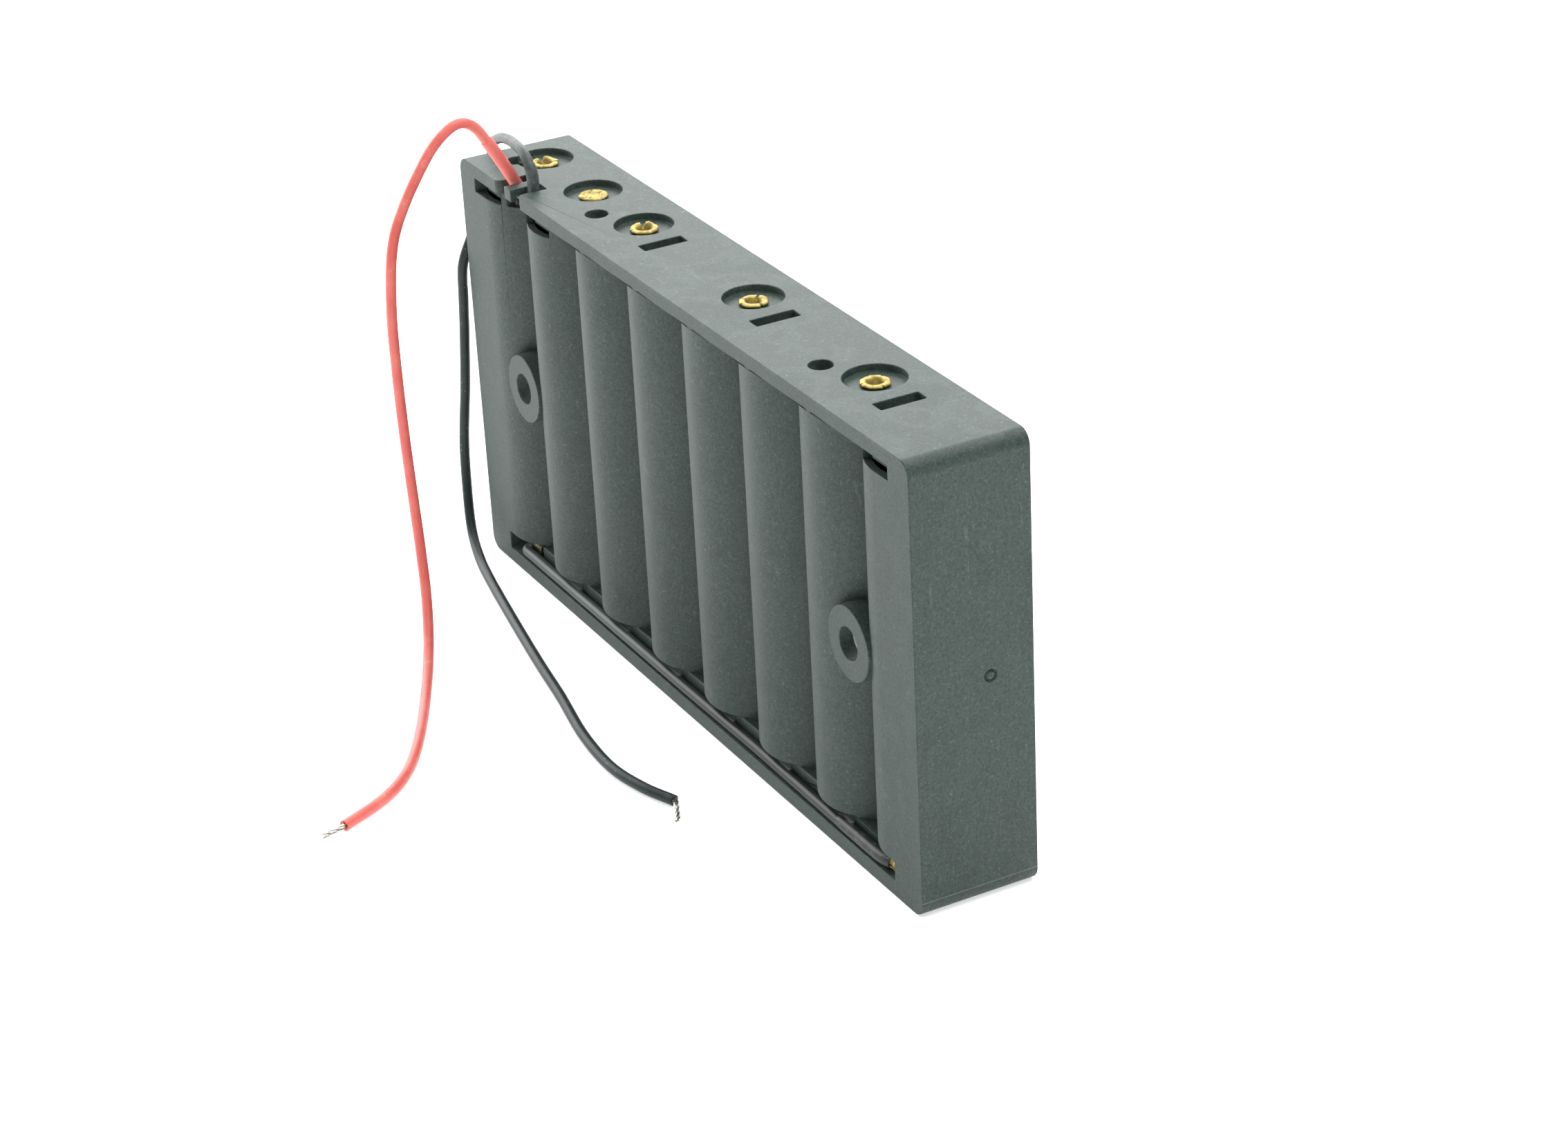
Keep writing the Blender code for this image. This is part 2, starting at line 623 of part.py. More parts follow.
# ---- the whole holder -----------------------------------------------------------------------------
def build():
    clear_scene()
    plastic = make_material("tray_plastic", (0.085, 0.105, 0.105), 0.55)
    brass = make_material("brass", (0.62, 0.44, 0.14), 0.3, 1.0)
    nickel = make_material("nickel_plate", (0.62, 0.62, 0.6), 0.3, 1.0)
    steel = make_material("spring_steel", (0.66, 0.66, 0.66), 0.25, 1.0)
    red = make_material("red_insulation", (0.72, 0.13, 0.11), 0.4)
    black = make_material("black_insulation", (0.04, 0.05, 0.055), 0.4)
    tin = make_material("tinned_copper", (0.6, 0.58, 0.52), 0.3, 1.0)

    rivets = rivet_cutter()
    make_tray(plastic, rivets)

    make_plate("positive_terminal_plate", pad_outline(1), True, nickel, rivets)
    make_plate("negative_terminal_plate", pad_outline(2), True, nickel, rivets)
    make_plate("jumper_plate_1", pad_outline(1), False, nickel, rivets)
    make_plate("jumper_plate_8", pad_outline(BAYS), False, nickel, rivets)
    for bay in TOP_BRIDGES:
        make_plate(f"top_bridge_{bay}_{bay + 1}", bridge_outline(bay), True, nickel, rivets)
    for bay in BOTTOM_BRIDGES:
        make_plate(f"bottom_bridge_{bay}_{bay + 1}", bridge_outline(bay), False, nickel, rivets)

    for bay in TOP_RIVET_BAYS:
        make_rivet(f"top_rivet_{bay}", bay, True, brass)
    for bay in BOTTOM_RIVET_BAYS:
        make_rivet(f"bottom_rivet_{bay}", bay, False, brass)

    for bays, top in ((BOTTOM_SPRING_BAYS, False), (TOP_SPRING_BAYS, True)):
        for bay in bays:
            make_coil(f"spring_{bay}", bay, top, 0.0, SPRING_TURNS - 1.05, steel)
            make_coil(f"spring_tip_{bay}", bay, top, SPRING_TURNS - 1.0, SPRING_TURNS, steel)

    make_jumper(black, brass)
    height = CEILING - LEAD_CRIMP_LENGTH / 2
    route = lead_route(RED_RISE, RED_FALL, NOTCH_X)
    make_crimp("positive_crimp", (*route[0][:2], height), LEAD_CRIMP_LENGTH, "z", nickel)
    end = fall_place(RED_END, NOTCH_X)
    make_lead("red_lead", route, end, RED_SLEEVE_RADIUS, RED_SLEEVE_LENGTH, red, tin)
    route = lead_route(BLACK_RISE, BLACK_FALL, -WIDTH / 2)
    make_crimp("negative_crimp", (*route[0][:2], height), LEAD_CRIMP_LENGTH, "z", nickel)
    end = fall_place(BLACK_END, -WIDTH / 2)
    make_lead("black_lead", route, end, BLACK_SLEEVE_RADIUS, BLACK_SLEEVE_LENGTH, black, tin)


build()
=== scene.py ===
import math
import random

import bmesh
import bpy
from mathutils import Matrix, Vector, noise


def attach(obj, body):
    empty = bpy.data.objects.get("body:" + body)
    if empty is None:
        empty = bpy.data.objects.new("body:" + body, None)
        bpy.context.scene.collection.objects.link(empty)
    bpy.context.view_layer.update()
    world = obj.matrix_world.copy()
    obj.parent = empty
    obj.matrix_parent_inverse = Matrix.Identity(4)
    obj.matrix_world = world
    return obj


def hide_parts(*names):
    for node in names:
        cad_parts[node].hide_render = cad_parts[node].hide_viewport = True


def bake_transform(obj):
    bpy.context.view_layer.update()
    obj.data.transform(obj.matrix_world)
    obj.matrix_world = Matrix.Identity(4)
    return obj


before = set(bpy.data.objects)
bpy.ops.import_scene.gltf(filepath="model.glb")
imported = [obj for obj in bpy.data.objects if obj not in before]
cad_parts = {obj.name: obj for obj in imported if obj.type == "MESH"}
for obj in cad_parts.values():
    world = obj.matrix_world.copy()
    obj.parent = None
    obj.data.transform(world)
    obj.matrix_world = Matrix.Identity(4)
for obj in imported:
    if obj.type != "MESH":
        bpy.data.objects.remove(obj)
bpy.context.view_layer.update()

# ---- sizes, in metres, as in the frame ------------------------------------------------------------
BAYS = 8
PITCH = 0.0156
WIDTH, DEPTH, HEIGHT = 0.126, 0.0168, 0.062
BACK, FRONT = -DEPTH / 2, DEPTH / 2
BAY_RADIUS = 0.00735
SHELL_RADIUS = 0.00855
CELL_AXIS = BACK + SHELL_RADIUS
FLOOR, CEILING = 0.0022, 0.0600
OUTER_CORNER = 0.0020
PARTITION_FRONT = BACK + 0.0105
CHANNEL_TOP = 0.0049
CHANNEL_END = WIDTH / 2 - 0.0067
CHANNEL_DEPTH = 0.0018
CRIMP_BED_DEPTH = 0.0037
BED_7_DEPTH = 0.0028
WINDOW_HALF, WINDOW_DEPTH = 0.0035, 0.0020
WINDOW_BAYS = (1, 2, 8)
WINDOW_FLOOR = CEILING - 0.0020
GAP = 0.0003
PAST = 0.002                      # how far a cutter stands clear of the surface it starts from
BOSS_Z = 0.0314
BOSS_RADIUS, BOSS_LENGTH = 0.0050, 0.0054
SCREW_RADIUS = 0.00225
NOTCH_HALF, NOTCH_DEPTH, NOTCH_LIP = 0.00325, 0.0046, 0.0010
HOOK_HALF = 0.00105
PIN_HOLES = (-0.0562, -0.0306, 0.0319)
PIN_HOLE_RADIUS = 0.0016
PIN_HOLE_Y = BACK + 0.0060
BRIDGE_Y = BACK + 0.0085
RIVET_Y = BACK + 0.0096
RIVET_HOLE_RADIUS = 0.0015
RECESS_RADIUS, RECESS_DEPTH = 0.0041, 0.0010
PLATE = 0.0003
WIRE = 0.00075                    # radius of the insulated wires
SPRING_WIRE = 0.0003
SPRING_RISE = 0.0082
TOP_RIVETS = (1, 2, 3, 5, 7)
BOTTOM_RIVETS = (1, 2, 4, 6, 8)
TOP_BRIDGES = (3, 5, 7)
BOTTOM_BRIDGES = (2, 4, 6)
BOTTOM_SPRINGS = (1, 3, 5, 7)
TOP_SPRINGS = (2, 4, 6, 8)


def bay_x(bay):
    return (bay - (BAYS + 1) / 2) * PITCH


def wall_x(bay):
    return bay_x(bay) + PITCH / 2


NOTCH_X = wall_x(1)


# ---- camera ---------------------------------------------------------------------------------------
def make_camera():
    data = bpy.data.cameras.new("camera")
    data.lens = 84.74
    data.sensor_width = 36
    data.sensor_fit = "HORIZONTAL"
    data.clip_start = 0.01
    camera = bpy.data.objects.new("camera", data)
    bpy.context.scene.collection.objects.link(camera)
    forward = Vector((-0.7931, 0.4132, -0.4474)).normalized()
    right = Vector((0.4819, 0.8750, -0.0462))
    right = (right - forward * right.dot(forward)).normalized()
    turn = Matrix((right, right.cross(forward), -forward)).transposed().to_4x4()
    camera.matrix_world = Matrix.Translation((0.3992, -0.2003, 0.2435)) @ turn
    bpy.context.scene.camera = camera


make_camera()


# ---- finishes -------------------------------------------------------------------------------------
class Value:
    """A socket's output. Arithmetic on it adds Math nodes to its finish."""

    def __init__(self, finish, socket):
        self.finish = finish
        self.socket = socket

    def math(self, operation, *values):
        return self.finish.node("ShaderNodeMath", {"operation": operation}, dict(enumerate(values)))

    def __add__(self, other):
        return self.math("ADD", self, other)

    def __sub__(self, other):
        return self.math("SUBTRACT", self, other)

    def __rsub__(self, other):
        return self.math("SUBTRACT", other, self)

    def __mul__(self, other):
        return self.math("MULTIPLY", self, other)

    def __gt__(self, other):
        return self.math("GREATER_THAN", self, other)

    def __lt__(self, other):
        return self.math("LESS_THAN", self, other)

    __radd__ = __add__
    __rmul__ = __mul__

    def ramp(self, low, high, start=0.0, end=1.0):
        """Rises smoothly from start to end as this value goes from low to high."""
        return self.finish.node("ShaderNodeMapRange", {"interpolation_type": "SMOOTHSTEP"},
                                {0: self, 1: low, 2: high, 3: start, 4: end})


class Finish:
    """One procedural material around a Principled shader."""

    def __init__(self, name, **constants):
        self.material = bpy.data.materials.new(name)
        self.material.use_nodes = True
        self.tree = self.material.node_tree
        self.shader = self.tree.nodes["Principled BSDF"]
        for key, value in constants.items():
            self.shader.inputs[key.replace("_", " ")].default_value = value
        self.place = self.node("ShaderNodeTexCoord", {}, {}, "Object")

    def node(self, kind, settings, sockets, output=0):
        made = self.tree.nodes.new(kind)
        for key, value in settings.items():
            setattr(made, key, value)
        for key, value in sockets.items():
            self.join(value, made.inputs[key])
        return Value(self, made.outputs[output])

    def join(self, value, socket):
        if isinstance(value, Value):
            self.tree.links.new(value.socket, socket)
        elif isinstance(value, tuple) and len(value) == 3 and socket.type == "RGBA":
            socket.default_value = (*value, 1.0)
        else:
            socket.default_value = value

    def stretched(self, scale):
        """The surface's place, stretched by a factor along each axis."""
        return self.node("ShaderNodeVectorMath", {"operation": "MULTIPLY"}, {0: self.place, 1: scale})

    def noise(self, size, detail=2.0, roughness=0.5, where=None):
        """Soft noise from 0 to 1 with features of about that size in metres."""
        return self.node("ShaderNodeTexNoise", {"noise_dimensions": "3D"},
                         {"Vector": where or self.place, "Scale": 1 / size, "Detail": detail,
                          "Roughness": roughness}, "Fac")

    def cells(self, size):
        """Distance to the nearest of random points that lie about that size apart, as a share of it."""
        return self.node("ShaderNodeTexVoronoi", {"feature": "F1"},
                         {"Vector": self.place, "Scale": 1 / size}, "Distance")

    def mix(self, factor, first, second):
        return self.node("ShaderNodeMix", {"data_type": "RGBA"}, {0: factor, 6: first, 7: second}, 2)

    def bump(self, height, distance, strength=1.0, after=None):
        sockets = {"Height": height, "Distance": distance, "Strength": strength}
        if after:
            sockets["Normal"] = after
        return self.node("ShaderNodeBump", {}, sockets, "Normal")

    def set(self, **looks):
        """Links what varies over the surface to the shader, and returns the material."""
        for key, value in looks.items():
            self.join(value, self.shader.inputs[key.replace("_", " ")])
        return self.material


def axis_part(finish, axis):
    """One coordinate of the surface's place, in metres."""
    return finish.node("ShaderNodeSeparateXYZ", {}, {0: finish.place}, axis)


# Where the end face and the top face begin, and the mould's parting line across the end face.
END_FACE_X = 0.06285
TOP_FACE_Z = 0.0616
SEAM_Z, SEAM_HALF = 0.00225, 0.00007


def moulded_plastic():
    """Dark green-grey styrene: eroded grain, cloudy pigment, swirls on top, dust, scuffs, a parting line."""
    skin = Finish("moulded_plastic", Specular_IOR_Level=0.44)
    grain = skin.noise(0.00024, 2.0, 0.55)
    speckle = skin.noise(0.00050, 2.0, 0.6)
    mottle = skin.noise(0.0028, 4.0, 0.6)
    cloud = skin.noise(0.011, 3.0, 0.55)
    swirl = cloud.math("SINE", cloud * 26)
    flow = skin.noise(0.004, 3.0, 0.6, skin.stretched((0.5, 1.0, 0.12)))
    fleck = skin.noise(0.0006, 1.0, 0.4).ramp(0.64, 0.80)
    dust = (skin.cells(0.0046) < 0.017) * skin.noise(0.009, 1.0).ramp(0.52, 0.70)
    scuff = skin.noise(0.0012, 2.0, 0.7, skin.stretched((0.22, 1.6, 0.3))).ramp(0.63, 0.75)
    scuff = scuff * skin.noise(0.018, 1.0).ramp(0.50, 0.66)
    level = axis_part(skin, "Z")
    seam = level.math("ABSOLUTE", level - SEAM_Z) < SEAM_HALF
    seam = seam * (axis_part(skin, "X") > END_FACE_X) * mottle.ramp(0.35, 0.55, 0.3, 1.0)
    base = skin.mix(cloud.ramp(0.3, 0.7), (0.022, 0.040, 0.033), (0.029, 0.050, 0.042))
    base = skin.mix(mottle.ramp(0.3, 0.7, 0.0, 0.5), base, (0.038, 0.062, 0.053))
    swirl = swirl.ramp(0.2, 1.0) * (0.12 + 0.42 * (level > TOP_FACE_Z))
    base = skin.mix(swirl, base, (0.058, 0.085, 0.074))
    base = skin.mix(flow.ramp(0.35, 0.75, 0.0, 0.35), base, (0.044, 0.068, 0.058))
    base = skin.mix(speckle.ramp(0.56, 0.36, 0.0, 0.50), base, (0.006, 0.013, 0.012))
    base = skin.mix(grain.ramp(0.50, 0.72, 0.0, 0.42), base, (0.105, 0.142, 0.125))
    base = skin.mix(fleck * 0.28, base, (0.13, 0.17, 0.15))
    base = skin.mix(scuff * 0.30, base, (0.15, 0.19, 0.17))
    base = skin.mix(seam * 0.45, base, (0.21, 0.25, 0.23))
    base = skin.mix(dust * 0.5, base, (0.38, 0.41, 0.38))
    rough = 0.42 + cloud * 0.10 + speckle * 0.16 - fleck * 0.06
    soft = skin.bump(mottle + flow, 0.00006, 0.35)
    normal = skin.bump(grain * 0.6 + speckle * 0.6, 0.00003, 0.9, soft)
    return skin.set(Base_Color=base, Roughness=rough, Normal=normal)


def dull_metal(name, pale, deep, tarnish_amount):
    """Rolled sheet: satin where it is clean, browner in its tarnished patches."""
    sheet = Finish(name, Metallic=0.85)
    blotch = sheet.noise(0.0007, 4.0, 0.6)
    fine = sheet.noise(0.00014, 2.0, 0.6)
    tarnish = sheet.noise(0.0010, 3.0, 0.6).ramp(0.46, 0.72)
    base = sheet.mix(blotch.ramp(0.3, 0.7), deep, pale)
    base = sheet.mix(tarnish * tarnish_amount, base, (0.20, 0.115, 0.030))
    rough = 0.48 + blotch * 0.12 + tarnish * 0.10
    return sheet.set(Base_Color=base, Roughness=rough, Normal=sheet.bump(fine + blotch, 0.00003, 0.6))


def nickel_plate():
    """Nickel-plated strip: rolling marks along X, faint stains."""
    strip = Finish("nickel_plate", Metallic=1.0)
    rolled = strip.noise(0.00018, 2.0, 0.5, strip.stretched((0.06, 1.0, 1.0)))
    stain = strip.noise(0.003, 4.0, 0.6).ramp(0.5, 0.75)
    base = strip.mix(rolled.ramp(0.3, 0.7), (0.47, 0.47, 0.44), (0.60, 0.60, 0.57))
    base = strip.mix(stain * 0.4, base, (0.36, 0.33, 0.27))
    rough = 0.28 + rolled * 0.12 + stain * 0.1
    return strip.set(Base_Color=base, Roughness=rough, Normal=strip.bump(rolled, 0.00002, 0.35))


def drawn_steel(name, light, dark, tint):
    """Bright drawn wire with small dull patches."""
    wire = Finish(name, Metallic=1.0)
    drawn = wire.noise(0.0004, 3.0, 0.6)
    dull = wire.noise(0.0015, 3.0, 0.6).ramp(0.5, 0.72)
    base = wire.mix(drawn.ramp(0.35, 0.65), dark, light)
    base = wire.mix(dull * 0.4, base, tint)
    return wire.set(Base_Color=base, Roughness=0.16 + drawn * 0.12 + dull * 0.16,
                    Normal=wire.bump(drawn, 0.00002, 0.3))


def insulation(name, deep, body, worn, dust_amount, bloom, gloss):
    """Soft vinyl: pigment clouds, shallow waviness, lint, rubbed patches, pale bloom near the notch."""
    vinyl = Finish(name, Specular_IOR_Level=gloss)
    cloud = vinyl.noise(0.004, 3.0, 0.55)
    ripple = vinyl.noise(0.0013, 2.0, 0.5)
    fine = vinyl.noise(0.00018, 2.0, 0.6)
    rubbed = vinyl.noise(0.0011, 3.0, 0.65).ramp(0.55, 0.75) * vinyl.noise(0.008, 1.0).ramp(0.45, 0.6)
    specks = (vinyl.cells(0.0008) < 0.11) * vinyl.noise(0.004, 1.0).ramp(0.45, 0.6)
    base = vinyl.mix(cloud.ramp(0.3, 0.7), deep, body)
    base = vinyl.mix(rubbed * 0.4, base, worn)
    powder = vinyl.noise(0.0016, 3.0, 0.65).ramp(0.35, 0.65, 0.45, 1.0)
    powder = powder * axis_part(vinyl, "Z").ramp(0.050, 0.064)
    base = vinyl.mix(powder * bloom, base, (0.30, 0.33, 0.33))
    base = vinyl.mix(specks * dust_amount, base, (0.62, 0.60, 0.57))
    rough = 0.36 + cloud * 0.10 + rubbed * 0.15
    normal = vinyl.bump(fine, 0.000012, 0.4, vinyl.bump(ripple, 0.00005, 0.4))
    return vinyl.set(Base_Color=base, Roughness=rough, Normal=normal)


def scraped_and_sheen_insulation(name):
    """The jumper's black vinyl: greyed towards the first bay as a painted sheen, scratched pale along the
    wire at the last.
    """
    vinyl = Finish(name, Specular_IOR_Level=0.5)
    cloud = vinyl.noise(0.003, 3.0, 0.55)
    lines = vinyl.noise(0.0004, 3.0, 0.75, vinyl.stretched((0.16, 1.0, 1.0)))
    along = axis_part(vinyl, "X")
    scratch = lines.ramp(0.59, 0.66) * along.ramp(0.034, 0.046)
    powder = vinyl.noise(0.0003, 3.0, 0.7).ramp(0.58, 0.68) * along.ramp(0.038, 0.050)
    base = vinyl.mix(cloud.ramp(0.3, 0.7), (0.010, 0.014, 0.015), (0.018, 0.024, 0.025))
    # painted sheen: the vinyl is mixed towards grey from the middle of the channel to the first bay,
    # standing in for the light it reflects there
    base = vinyl.mix(along.ramp(0.020, -0.035, 0.0, 0.75), base, (0.072, 0.098, 0.086))
    base = vinyl.mix(scratch * 0.45, base, (0.34, 0.37, 0.35))
    base = vinyl.mix(powder * 0.18, base, (0.30, 0.32, 0.30))
    rough = 0.40 + cloud * 0.08 + scratch * 0.25
    normal = vinyl.bump(lines, 0.00004, 0.4)
    return vinyl.set(Base_Color=base, Roughness=rough, Normal=normal)


PLASTIC = moulded_plastic()
BRASS = dull_metal("stamped_brass", (0.52, 0.425, 0.155), (0.34, 0.265, 0.070), 0.65)
BRONZED = dull_metal("bronzed_brass", (0.36, 0.32, 0.20), (0.16, 0.14, 0.085), 0.25)
# Nearly black tin for the leads' crimps under the notch: partly dull solder, partly painted shade for the
# shadow they sit in under the top wall.
DARK_TIN_AND_SHADE = dull_metal("dull_tin_and_painted_shade", (0.050, 0.052, 0.050), (0.025, 0.026, 0.025), 0.1)
NICKEL = nickel_plate()
STEEL = drawn_steel("drawn_steel", (0.86, 0.87, 0.87), (0.60, 0.62, 0.63), (0.42, 0.43, 0.44))
TIN = drawn_steel("tinned_strand", (0.86, 0.84, 0.78), (0.58, 0.55, 0.48), (0.60, 0.40, 0.24))
RED = insulation("red_vinyl", (0.74, 0.130, 0.110), (0.81, 0.185, 0.155), (0.96, 0.46, 0.40),
                 dust_amount=0.30, bloom=0.0, gloss=0.38)
BLACK = insulation("black_vinyl", (0.015, 0.022, 0.023), (0.025, 0.036, 0.037), (0.10, 0.12, 0.12),
                   dust_amount=0.35, bloom=0.30, gloss=0.26)
SCRAPED_AND_SHEEN = scraped_and_sheen_insulation("scraped_vinyl_and_painted_sheen")


# ---- mesh tools -----------------------------------------------------------------------------------
def arc(centre, radius, start, end, steps):
    """Points on an arc between two angles in degrees."""
    points = []
    for step in range(steps + 1):
        angle = math.radians(start + (end - start) * step / steps)
        points.append((centre[0] + radius * math.cos(angle), centre[1] + radius * math.sin(angle)))
    return points


def add_prism(bm, outline, low, high, axis="z"):
    """A closed prism of an outline: in XY along Z, in XZ along Y or in YZ along X."""
    def corner(point, level):
        if axis == "z":
            return (point[0], point[1], level)
        if axis == "y":
            return (point[0], level, point[1])
        return (level, point[0], point[1])

    rings = [[bm.verts.new(corner(point, level)) for point in outline] for level in (low, high)]
    faces = [bm.faces.new(rings[0]), bm.faces.new(rings[1][::-1])]
    faces += bridge_rings(bm, rings)
    bmesh.ops.recalc_face_normals(bm, faces=faces)


def bridge_rings(bm, rings):
    """Joins each ring of vertices to the next with four-sided faces."""
    faces = []
    for lower, upper in zip(rings, rings[1:]):
        for i in range(len(lower)):
            j = (i + 1) % len(lower)
            faces.append(bm.faces.new((lower[j], lower[i], upper[i], upper[j])))
    return faces


def add_box(bm, low, high):
    outline = ((low[0], low[1]), (high[0], low[1]), (high[0], high[1]), (low[0], high[1]))
    add_prism(bm, outline, low[2], high[2])


def add_turned(bm, profile, centre, axis="z", steps=48, shape=None):
    """A closed turned solid from (radius, height) pairs that start and end on the axis.
    shape changes a point's radius and height by its angle."""
    rings = []
    for radius, height in profile:
        ring = []
        for step in range(steps if radius > 0 else 1):
            angle = 2 * math.pi * step / steps
            reach, level = shape(angle, radius, height) if shape else (radius, height)
            across, along = reach * math.cos(angle), reach * math.sin(angle)
            offset = {"z": (across, along, level), "y": (across, level, along)}[axis]
            ring.append(bm.verts.new(Vector(centre) + Vector(offset)))
        rings.append(ring)
    faces = []
    for lower, upper in zip(rings, rings[1:]):
        for i in range(steps):
            j = (i + 1) % steps
            around = []
            corners = (lower[i % len(lower)], lower[j % len(lower)],
                       upper[j % len(upper)], upper[i % len(upper)])
            for vert in corners:
                if vert not in around:
                    around.append(vert)
            faces.append(bm.faces.new(around))
    bmesh.ops.recalc_face_normals(bm, faces=faces)


def add_ring(bm, section, centre, steps):
    """A closed ring around X with a section of (radius, height) pairs."""
    rings = []
    for radius, height in section:
        ring = []
        for step in range(steps):
            angle = 2 * math.pi * step / steps
            offset = Vector((height, radius * math.cos(angle), radius * math.sin(angle)))
            ring.append(bm.verts.new(Vector(centre) + offset))
        rings.append(ring)
    faces = bridge_rings(bm, rings + rings[:1])
    bmesh.ops.recalc_face_normals(bm, faces=faces)


def add_rod(bm, radius, centre, low, high, axis="z", steps=48):
    add_turned(bm, ((0, low), (radius, low), (radius, high), (0, high)), centre, axis, steps)


def to_object(bm, name):
    mesh = bpy.data.meshes.new(name)
    bm.to_mesh(mesh)
    bm.free()
    item = bpy.data.objects.new(name, mesh)
    bpy.context.scene.collection.objects.link(item)
    return item


def apply_modifiers(item):
    bpy.context.view_layer.update()
    seen = item.evaluated_get(bpy.context.evaluated_depsgraph_get())
    mesh = bpy.data.meshes.new_from_object(seen)
    item.modifiers.clear()
    item.data = mesh


def carve(item, steps):
    """Applies exact Booleans in order. Each step is an operation and a bmesh, which is used up."""
    tools = []
    for operation, bm in steps:
        tool = to_object(bm, "tool")
        tools.append(tool)
        change = item.modifiers.new("carve", "BOOLEAN")
        change.operation = operation
        change.solver = "EXACT"
        change.object = tool
    apply_modifiers(item)
    for tool in tools:
        bpy.data.objects.remove(tool)


SHARP_ANGLE = 38                  # an edge that turns by more degrees than this is rounded
WELD = 2e-6


def soften(item, width, segments=2, clamp=False):
    """Cleans up after the Booleans and rounds every sharp edge a little."""
    bm = bmesh.new()
    bm.from_mesh(item.data)
    bmesh.ops.remove_doubles(bm, verts=bm.verts, dist=WELD)
    bmesh.ops.dissolve_degenerate(bm, edges=bm.edges, dist=WELD)
    bmesh.ops.dissolve_limit(bm, verts=bm.verts, edges=bm.edges, angle_limit=math.radians(0.4))
    bm.to_mesh(item.data)
    bm.free()
    change = item.modifiers.new("soften", "BEVEL")
    change.width = width
    change.segments = segments
    change.limit_method = "ANGLE"
    change.angle_limit = math.radians(SHARP_ANGLE)
    change.use_clamp_overlap = clamp
    change.miter_outer = "MITER_ARC"
    apply_modifiers(item)


def finish_piece(item, material, nodes, body="holder", smooth=40):
    """Shades a piece, gives it its finish, and lets it stand for its CAD nodes and ride on its body."""
    item.data.materials.clear()
    item.data.materials.append(material)
    item.data.shade_smooth()
    item.data.set_sharp_from_angle(angle=math.radians(smooth))
    even = item.modifiers.new("even", "WEIGHTED_NORMAL")
    even.keep_sharp = True
    even.weight = 100
    apply_modifiers(item)
    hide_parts(*nodes)
    if body:
        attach(item, body)
    return item


# ---- wires ----------------------------------------------------------------------------------------
def smooth_route(points, spacing):
    """Evenly spaced points on the smooth curve through a route's points."""
    parts = 24
    places = [Vector(point) for point in points]
    places = [2 * places[0] - places[1]] + places + [2 * places[-1] - places[-2]]
    fine = []
    for before, start, end, after in zip(places, places[1:], places[2:], places[3:]):
        for step in range(parts):
            t = step / parts
            bend = 2 * before - 5 * start + 4 * end - after
            twist = 3 * start - before - 3 * end + after
            fine.append((2 * start + (end - before) * t + bend * t * t + twist * t * t * t) / 2)
    fine.append(places[-2])
    reach = [0.0]
    for here, there in zip(fine, fine[1:]):
        reach.append(reach[-1] + (there - here).length)
    count = max(2, round(reach[-1] / spacing))
    even = []
    index = 0
    for step in range(count + 1):
        target = reach[-1] * step / count
        while index < len(fine) - 2 and reach[index + 1] < target:
            index += 1
        share = (target - reach[index]) / (reach[index + 1] - reach[index])
        even.append(fine[index].lerp(fine[index + 1], share))
    return even


def route_length(points):
    return sum((there - here).length for here, there in zip(points, points[1:]))


def first_stretch(points, reach):
    """The beginning of a route, up to that distance along it."""
    piece = [points[0]]
    done = 0.0
    for here, there in zip(points, points[1:]):
        length = (there - here).length
        if done + length < reach:
            piece.append(there)
        if done < reach <= done + length:
            piece.append(here.lerp(there, (reach - done) / length))
        done += length
    return piece


def frames_along(points):
    """The direction of a path and two steady cross directions, at each of its points."""
    frames = []
    side = None
    for index in range(len(points)):
        ahead = (points[min(index + 1, len(points) - 1)] - points[max(index - 1, 0)]).normalized()
        if side is None:
            side = ahead.orthogonal().normalized()
        side = (side - ahead * side.dot(ahead)).normalized()
        frames.append((ahead, side, ahead.cross(side)))
    return frames


def add_sweep(bm, points, outline_at):
    """A closed tube along a path. outline_at gives each point's ring as (across, up, along) offsets."""
    rings = []
    for index, (point, (ahead, side, rise)) in enumerate(zip(points, frames_along(points))):
        ring = []
        for across, up, along in outline_at(index):
            ring.append(bm.verts.new(point + side * across + rise * up + ahead * along))
        rings.append(ring)
    faces = [bm.faces.new(rings[0]), bm.faces.new(rings[-1][::-1])]
    faces += bridge_rings(bm, rings)
    bmesh.ops.recalc_face_normals(bm, faces=faces)


WIRE_SIDES = 20


def round_ring(radius, sides):
    ring = []
    for side in range(sides):
        angle = 2 * math.pi * side / sides
        ring.append((radius * math.cos(angle), radius * math.sin(angle), 0.0))
    return ring


def add_insulation(bm, points, radius, seed, ragged, cup=0.0006, core=0.0004):
    """An insulated wire. Its far end is a cup around the conductor, with a more or less ragged lip."""
    last = points[-1]
    ahead = (last - points[-2]).normalized()
    rings = list(points) + [last, last, last - ahead * cup]
    count = len(points)

    def outline(index):
        if index < count:
            wave = 0.02 * noise.noise(Vector((index * 0.21, seed, 0.0)))
            taper = 0.86 if index == 0 else 1.0
            return round_ring(radius * (1 + wave) * taper, WIRE_SIDES)
        shares = (0.93, core / radius * 1.15, core / radius * 1.1)
        ring = round_ring(radius * shares[index - count], WIRE_SIDES)
        if index == count + 2:
            return ring
        torn = []
        for side, (across, up, along) in enumerate(ring):
            tear = ragged * noise.noise(Vector((side * 0.9, seed * 3.1, 2.0)))
            torn.append((across, up, along + tear))
        return torn

    rows = []
    frames = frames_along(list(points))
    frames += [frames[-1]] * 3
    for index, (point, (forward, side, rise)) in enumerate(zip(rings, frames)):
        rows.append([bm.verts.new(point + side * across + rise * up + forward * along)
                     for across, up, along in outline(index)])
    faces = [bm.faces.new(rows[0]), bm.faces.new(rows[-1][::-1])]
    faces += bridge_rings(bm, rows)
    bmesh.ops.recalc_face_normals(bm, faces=faces)


